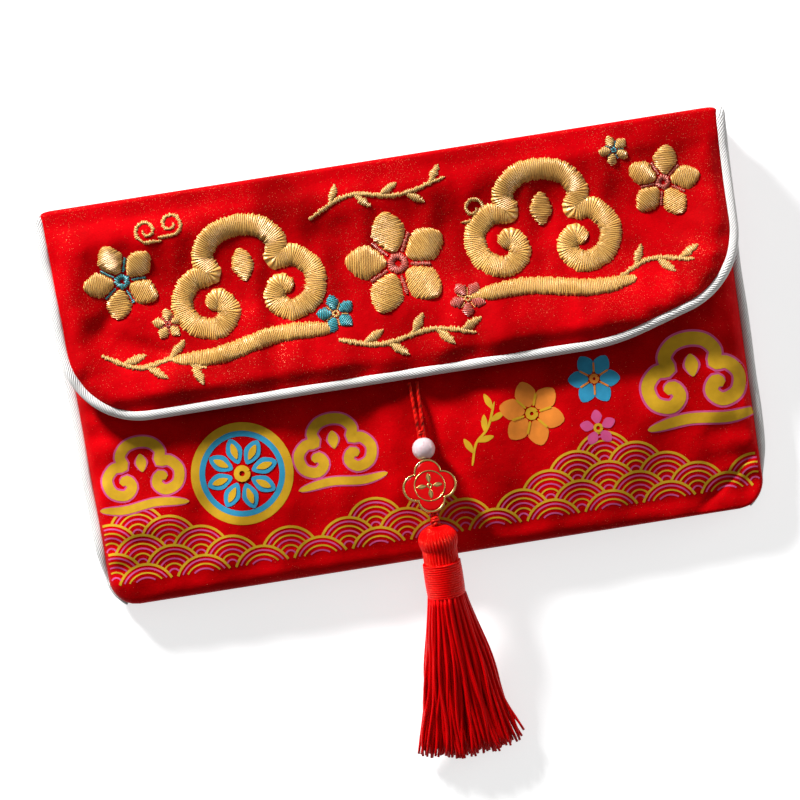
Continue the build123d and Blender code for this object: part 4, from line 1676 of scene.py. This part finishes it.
@dataclass
class Pendant:
    """Cord, bead, charm and knot that hang from the flap's edge."""

    silk: Material
    pivot: Triple = (0.0, -6.922, 17.456)
    bead: Axis = Axis((0.0, -26.177, 19.435), 7.02)
    knot: Axis = Axis((0.0, -47.020, 22.000), 7.02)
    cord_radius: float = 0.5
    cord_spread: float = 1.1
    pair_half: float = 0.52
    entry_before_bead: float = 4.25
    hitch_before_bead: float = 4.7
    hitch_turns: float = 1.5
    end_before_knot: float = 1.7
    knot_turns: float = 2.5
    knot_half: float = 0.95
    bead_radius: float = 3.25
    bead_bore: float = 1.25
    bead_dip: float = 0.5
    charm_from_bead: float = 10.9
    lobe_radius: float = 3.9
    lobe_offset: float = 3.8
    charm_half: float = 1.7
    rim: float = 0.6
    enamel_depth: float = 0.45
    enamel_sunk: float = 0.03
    ornament_sunk: float = 0.04
    dome: float = 0.16

    def build_cords(self) -> None:
        """Builds the two strands, from under the flap's edge through bead and charm to the knot.
        """
        for name, sign in SIDES:
            route = [
                np.array(self.pivot) + sign * self.cord_spread * ACROSS,
                self.bead.at(sign * self.pair_half, 0.0, -self.entry_before_bead),
                self.knot.at(sign * self.pair_half, 0.0, -self.end_before_knot),
            ]
            curve = bpy.data.curves.new(f"{name}_cord", "CURVE")
            curve.dimensions = "3D"
            spline = curve.splines.new("NURBS")
            spline.points.add(len(route) - 1)
            for point, place in zip(spline.points, route):
                point.co = (*(place * MM), 1.0)
            spline.order_u = 3
            spline.use_endpoint_u = True
            spline.resolution_u = 24
            curve.bevel_depth = self.cord_radius * MM
            curve.bevel_resolution = 3
            curve.use_fill_caps = True
            curve.materials.append(self.silk)
            piece = set_piece(add_object(f"{name}_cord", curve), "pendant", Slot.CORD, "hang_cord")

    def build_tails(self) -> None:
        """Builds the cord's two ends that are sewn flat under the flap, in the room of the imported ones."""
        low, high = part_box("cord_tails")
        draft = Draft("cord_ends")
        y = np.linspace(low[1], high[1], 12) / MM
        z = np.linspace(low[2] / MM + self.cord_radius, high[2] / MM - self.cord_radius, 12)
        for _, sign in SIDES:
            draft.tube(joined(sign * self.cord_spread, y, z), self.cord_radius)
        set_piece(draft.build(self.silk), "flap", Slot.CORD, "cord_tails")

    def build_bead(self, pearl: Material) -> Piece:
        """Builds the bead: a ball whose ends dip softly into its bore.

        Args:
            pearl: Material of the bead.

        Returns:
            The bead.
        """
        start = np.arcsin(self.bead_bore / self.bead_radius)
        polar = np.linspace(start, np.pi - start, 44)
        bore = [self.bead_bore * 0.8]
        radius = np.concatenate([bore, self.bead_radius * np.sin(polar), bore, bore])[:, None]
        along = self.bead_radius * np.cos(polar)
        first, last = along[0] - self.bead_dip, along[-1] + self.bead_dip
        along = np.concatenate([[first], along, [last, first]])[:, None]
        draft = Draft("bead")
        draft.grid(self.bead.round(radius, np.linspace(0, FULL_TURN, 65), along))
        return set_piece(draft.build(pearl), "bead", Slot.PEARL, "pearl_bead")

    def build_hitch(self) -> None:
        """Builds the small hitch that the pair makes before it enters the bead: a flattened coil."""
        turn = np.linspace(0, FULL_TURN * self.hitch_turns, 48)
        across = np.cos(turn) * (self.pair_half + self.cord_radius * 0.55)
        along = np.linspace(-0.5, 0.5, 48) * self.cord_radius * 2 - self.hitch_before_bead
        draft = Draft("hitch")
        path = self.bead.at(across, np.sin(turn) * self.cord_radius * 0.75, along)
        draft.tube(path, self.cord_radius * 0.8, up=self.bead.on)
        set_piece(draft.build(self.silk), "pendant", Slot.CORD)

    def lobes(self, turn: Array) -> Array:
        """Radius of the four-lobed outline at an angle: the far side of the nearest lobe's circle.

        Args:
            turn: Angles.

        Returns:
            Radii in millimetres.
        """
        off = (turn + np.pi / 4) % (np.pi / 2) - np.pi / 4
        across = self.lobe_offset * np.sin(off)
        return self.lobe_offset * np.cos(off) + np.sqrt(self.lobe_radius**2 - across**2)

    def charm_point(self, turn: Array, inset: Array | float, height: Array) -> Array:
        """Point of the charm at an angle, an inset from its outline and a height over its middle plane."""
        radius = np.maximum(self.lobes(turn) - inset, 0)
        return self.bead.at(radius * np.cos(turn), height, self.charm_from_bead - radius * np.sin(turn))

    def build_charm(self, gilt: Material, enamel: Material) -> list[Piece]:
        """Builds the gilt frame with its rounded rim and raised ornament, and a domed enamel on each side.

        Args:
            gilt: Material of the frame.
            enamel: Material of the enamel.

        Returns:
            The frame and the two enamels.
        """
        turn = np.linspace(0, FULL_TURN, 193)
        h, rim, bed = self.charm_half, self.rim, self.charm_half - self.enamel_depth
        front = [[rim, bed], [rim, h - 0.08], [rim - 0.08, h], [0.22, h], [0.06, h - 0.07], [0.0, h - 0.25]]
        profile = np.array(front + [[inset, -height] for inset, height in front[::-1]] + front[:1])
        frame = Draft("charm_rim")
        frame.grid(self.charm_point(turn, profile[:, :1], profile[:, 1:]))
        gold = Thread.GOLD
        ornament = Motif.petals(4, 0.9, 3.6, 0.75, gold)
        ornament += [Motif.ring(4.3, 0.2, gold), Motif.ring(0.55, 0.25, gold)]
        share = np.linspace(-1, 1, 7)
        crowned = h - self.ornament_sunk + self.dome * np.sqrt(1 - share**2)
        for side in (1, -1):
            for stroke in ornament:
                flat = band(stroke.line, stroke.half, share)
                angle = np.arctan2(flat[..., 1], flat[..., 0])
                inset = self.lobes(angle) - np.hypot(flat[..., 0], flat[..., 1])
                frame.grid(self.charm_point(angle, inset, side * crowned))
        pieces = [set_piece(frame.build(gilt), "pendant", Slot.GILT, "charm_frame")]
        share = np.linspace(0, 1, 14)[:, None]
        inset = rim + (1 - share) * (self.lobes(turn) - rim)
        domed = h - self.enamel_sunk - self.dome * share**4
        for name, side in (("front", 1), ("back", -1)):
            draft = Draft(f"enamel_{name}")
            draft.grid(self.charm_point(turn, inset, side * domed))
            draft.grid(self.charm_point(turn, inset, side * bed))
            draft.grid(self.charm_point(turn, rim, side * np.array([domed[-1], [bed]])))
            pieces.append(set_piece(draft.build(enamel), "pendant", Slot.ENAMEL, f"charm_enamel_{name}"))
        return pieces

    def build_knot(self) -> Piece:
        """Builds the knot: the cord wound two and a half times round itself, over a core.

        Returns:
            The knot.
        """
        along = np.linspace(-self.knot_half, self.knot_half, 90)
        radius = self.knot_half * np.sqrt(1 - (along / 1.6) ** 2)
        draft = Draft("knot")
        turn = np.linspace(0, FULL_TURN * self.knot_turns, 90)
        draft.tube(self.knot.round(radius, turn, along), self.cord_radius, up=self.knot.on)
        core = self.knot.at(0.0, 0.0, np.linspace(-1.3, 1.3, 12))
        draft.tube(core, 0.62 * np.sqrt(1 - np.linspace(-0.8, 0.8, 12) ** 2), up=self.knot.up)
        return set_piece(draft.build(self.silk), "knot", Slot.CORD, "cord_knot")


@dataclass
class Tassel:
    """Silk tassel: gathered head, wound band and a skirt of twisted threads that fans out on the table."""

    wound_silk: Material
    loose_silk: Material
    axis: Axis = Axis((0.0, -47.020, 22.000), -14.65)
    length: float = 69.6
    head_start: float = 1.2
    head_end: float = 11.6
    head_radius: float = 5.5
    head_strands: int = 17
    strand_rise: float = 0.42
    strand_sink: float = 0.3
    tip_radius: float = 0.7
    neck_radius: float = 4.85
    band_length: float = 10.6
    band_turns: int = 15
    thread_radius: float = 0.34
    skirt_root: float = 5.2
    skirt_half_width: float = 15.3
    skirt_half_depth: float = 3.6
    threads: int = 290
    thread_size: float = 0.45
    clumps: int = 26
    clump_share: float = 0.45
    ragged: float = 4.0
    wave: float = 0.75
    hem: float = 2.2
    streak_step: float = 7.3

    def build_head(self) -> None:
        """Builds the head with the neck: gathered at the knot, swelling to a ball, drawn in at the band.

        Its strands are the humps of a sine round the axis, over faint random unevenness.
        """
        t = np.linspace(0, 1, 60)[:, None]
        turn = np.linspace(0, FULL_TURN, 289)[None, :]
        bulb = np.sin(np.pi * t**0.72) ** 0.62
        radius = self.tip_radius + (self.head_radius - self.tip_radius) * bulb
        radius = np.maximum(radius, self.neck_radius * smooth(t, 0.45, 0.62))
        uneven = np.random.default_rng(2).uniform(0, 0.35, turn.size)
        uneven[-1] = uneven[0]
        strand = np.abs(np.sin(turn * self.head_strands + 1.1 * t + 0.3 * np.sin(t * 5 + turn * 3)))
        radius = radius + (self.strand_rise * strand - self.strand_sink) * smooth(t, 0.0, 0.25)
        radius = radius + uneven * 0.2 * smooth(t, 0.1, 0.4)
        end = self.head_end + self.band_length
        points = np.concatenate([
            self.axis.round(0.0, turn, self.head_start - 0.1),
            self.axis.round(radius, turn, self.head_start + (self.head_end + 0.4 - self.head_start) * t),
            self.axis.round(self.neck_radius, turn, end),
            self.axis.round(0.0, turn, end),
        ])
        draft = Draft("head")
        draft.grid(points, joined(np.linspace(0, 26, len(points))[:, None], turn * self.head_radius))
        set_piece(draft.build(self.wound_silk), "tassel", Slot.SILK, "tassel_head", "tassel_neck")

    def build_band(self) -> None:
        """Builds the band: one thread wound closely round the neck."""
        t = np.linspace(0, 1, self.band_turns * 40)
        radius = self.neck_radius + self.thread_radius * 0.9 + 0.12 * np.sin(np.pi * t)
        along = self.head_end + 0.35 + (self.band_length - 0.7) * t
        path = self.axis.round(radius, FULL_TURN * self.band_turns * t, along)
        draft = Draft("band")
        draft.tube(path, self.thread_radius, 8, up=self.axis.on)
        set_piece(draft.build(self.wound_silk), "tassel", Slot.SILK, "tassel_band")

    def build_skirt(self) -> None:
        """Builds the skirt: each thread leaves the root disc and drifts out to a flat fan, with small waves.

        The roots lie on a sunflower spiral whose angles are drawn towards a few clumps.
        """
        rng = np.random.default_rng(9)
        start = self.head_end + self.band_length - 0.6
        k = np.arange(self.threads)
        r = np.sqrt((k + 0.5) / self.threads)
        a = k * np.pi * (3 - np.sqrt(5))
        clump = np.round(a / FULL_TURN * self.clumps) / self.clumps * FULL_TURN
        a = a * (1 - self.clump_share) + clump * self.clump_share
        side, high = r * np.cos(a), r * np.sin(a)
        t = np.linspace(0, 1, 22)[:, None]
        ease = t**1.15
        reach = self.length - start - self.ragged * rng.uniform(0, 1, self.threads) ** 2 - self.hem * side**2
        tip_x = self.skirt_half_width * side * rng.uniform(0.9, 1.03, self.threads)
        swell = np.sin(np.pi * np.clip(t * 1.6, 0, 1)) * 0.5
        bend = t * rng.uniform(4, 11, self.threads) + 6.3 * rng.uniform(size=self.threads)
        x = self.skirt_root * side * (1 - ease) + tip_x * ease + swell * np.cos(a)
        x = x + self.wave * t * np.sin(bend) + 0.5 * t * np.sin(7 * clump + 6 * t)
        bend = t * rng.uniform(4, 9, self.threads) + 6.3 * rng.uniform(size=self.threads)
        up = self.skirt_root * high * (1 - ease) + self.skirt_half_depth * high * ease
        up = up + 0.5 * self.wave * t * np.sin(bend)
        paths = self.axis.at(x, up, start + reach * t)
        paths[..., 2] = np.maximum(paths[..., 2], self.thread_size + 0.1)
        draft = Draft("skirt")
        size = np.full(len(t), self.thread_size)
        size[-2:] *= 0.8
        for number, path in enumerate(paths.transpose(1, 0, 2)):
            draft.tube(path, size, 6, streak=number * self.streak_step)
        set_piece(draft.build(self.loose_silk), "tassel", Slot.SILK, "tassel_skirt")


@dataclass
class Studio:
    """Pale floor, soft lights and the camera of the photograph."""

    frame_px: float = 800.0
    mm_per_px: float = 0.2855
    roll: float = 9.0
    tilt: float = 2.0
    distance: float = 1100.0
    look_at: Triple = (-4.4, -11.2, 12.0)
    sensor: float = 36.0
    floor_half: float = 1500.0
    floor_drop: float = 0.05
    floor_glow: float = 0.68
    world_strength: float = 0.16
    lamps: tuple[tuple[str, Triple, float, float], ...] = (
        ("key", (-0.52, 0.88, 0.52), 0.20, 28.0),
        ("fill", (1.0, 0.25, 0.18), 0.5, 3.4),
        ("over", (0.0, 0.25, 1.2), 0.8, 0.7),
    )

    def build(self) -> None:
        """Makes floor, world, lights and camera."""
        self.floor()
        self.lights()
        self.camera()

    def floor(self) -> None:
        """Makes a wide pale floor that shows white, also in what mirrors it, and keeps the shadow."""
        n = Nodes("pale_floor")
        speckle = n.noise(n.place(), 40.0, 2.0)
        n.shade(Base_Color=n.mix(speckle, (0.60, 0.60, 0.60), (0.64, 0.64, 0.64)), Roughness=0.9)
        seen = n.add("ShaderNodeLightPath").outputs
        mirrored = n.math("MAXIMUM", seen["Is Glossy Ray"], seen["Is Transmission Ray"])
        shown = n.math("MULTIPLY", n.math("MAXIMUM", seen["Is Camera Ray"], mirrored), self.floor_glow)
        glow = n.add("ShaderNodeEmission", {"Strength": shown})
        both = n.add("ShaderNodeAddShader", {0: n.shader.outputs[0], 1: glow.outputs[0]})
        n.put(n.tree.nodes["Material Output"].inputs["Surface"], both.outputs[0])
        size = np.linspace(-self.floor_half, self.floor_half, 3)
        draft = Draft("floor")
        draft.grid(joined(size, size[:, None], -self.floor_drop))
        piece = draft.build(n.material, closed=False)

    def lights(self) -> None:
        """Makes a key from the upper left, a low fill from the right, a faint lamp above and a pale world."""
        scene = bpy.context.scene
        scene.world = bpy.data.worlds.new("studio")
        scene.world.use_nodes = True
        background = scene.world.node_tree.nodes["Background"]
        background.inputs[0].default_value = (1.0, 1.0, 1.0, 1.0)
        background.inputs[1].default_value = self.world_strength
        for name, place, size, power in self.lamps:
            lamp = bpy.data.lights.new(name, "AREA")
            lamp.size = size
            lamp.energy = power
            holder = add_object(name, lamp)
            holder.location = place
            holder.rotation_euler = look_along(-np.array(place), np.array([0.0, 1.0, 0.0])).to_euler()

    def camera(self) -> None:
        """Makes the camera over the pouch, rolled and tilted as in the photograph."""
        lens = bpy.data.cameras.new("camera")
        lens.sensor_width = self.sensor
        lens.lens = self.sensor * self.distance / (self.frame_px * self.mm_per_px)
        lens.clip_start = 0.01
        roll, tilt = np.radians(self.roll), np.radians(self.tilt)
        up = np.array([np.sin(roll), np.cos(roll), 0.0])
        direction = up * np.sin(tilt) - UPWARD * np.cos(tilt)
        place = (np.array(self.look_at) - direction * self.distance) * MM
        holder = add_object("camera", lens)
        holder.matrix_world = Matrix.Translation(place) @ look_along(direction, up)
        scene = bpy.context.scene
        scene.camera = holder
        scene.view_settings.view_transform = "Standard"


def look_along(direction: Array, up: Array) -> Matrix:
    """Rotation of a lamp or camera that looks along a direction.

    Args:
        direction: Direction that it looks in.
        up: Direction that is up in its view.

    Returns:
        The rotation as a 4 by 4 matrix.
    """
    back = -direction / np.linalg.norm(direction)
    right = np.cross(up, back)
    right /= np.linalg.norm(right)
    return Matrix(np.stack([right, np.cross(back, right), back], 1).tolist()).to_4x4()


def dress_magnets(frame: dict, steel: Material) -> None:
    """Gives the magnets inside the pads their plated finish.

    Args:
        frame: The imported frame.
        steel: Material of the magnets.
    """
    for node in ("front_magnet", "flap_magnet"):
        mesh = frame["nodes"][node].data
        mesh.materials.clear()
        mesh.materials.append(steel)


def main() -> None:
    """Builds every piece in order."""
    logging.basicConfig(level=logging.INFO, format="%(name)s %(message)s")
    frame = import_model()
    Studio().build()

    pouch = PouchBody(
        Satin("front_satin", (0.65, 0.000, 0.003), (0.34, 0.000, 0.001), 0.03).make(),
        Satin("flap_satin", (0.61, 0.000, 0.003), (0.31, 0.000, 0.001), 0.10).make(),
        Twill("white_twill", (0.96, 0.95, 0.93), (0.60, 0.58, 0.56)).make(),
    )
    pouch.build_front()
    pouch.build_back()
    pouch.build_side_piping()
    flap = Flap(pouch)
    flap.build_pad()
    flap.build_piping()
    FlapStitching(flap).build()
    FrontPrint(pouch).build()

    red_cord = Silk(
        "red_cord", (0.98, 0.006, 0.004), (0.10, 0.000, 0.001), 0.8, 0.40,
        pitch=1.2, coordinate="Object", unit=1000.0,
    )
    pearl = Gloss("pearl", (0.60, 0.50, 0.53), (0.66, 0.53, 0.54), 0.25, coat=0.4, glow_through=1.0)
    gilt = Gloss("gilt", (0.83, 0.58, 0.22), (0.72, 0.46, 0.14), 0.22, 1.0)
    enamel = Gloss("enamel", (0.58, 0.000, 0.001), (0.44, 0.000, 0.001), 0.22, specular=0.12)
    pendant = Pendant(red_cord.make())
    pendant.build_tails()
    bead = pendant.build_bead(pearl.make())
    charm = pendant.build_charm(gilt.make(), enamel.make())
    knot = pendant.build_knot()
    pendant.build_hitch()
    pendant.build_cords()

    silk_red = (1.00, 0.000, 0.002)
    wound_silk = Silk("wound_silk", silk_red, (0.78, 0.000, 0.001), 0.5, 0.22, 0.5, (1.0, 0.20, 0.07))
    loose_silk = Silk("loose_silk", silk_red, (0.46, 0.000, 0.001), 0.5, 0.34, 0.3, (1.0, 0.04, 0.02))
    tassel = Tassel(wound_silk.make(), loose_silk.make())
    tassel.build_head()
    tassel.build_band()
    tassel.build_skirt()
    dress_magnets(frame, Gloss("plated_steel", (0.55, 0.55, 0.57), (0.48, 0.48, 0.50), 0.3, 1.0).make())


if __name__ == "__main__":
    main()
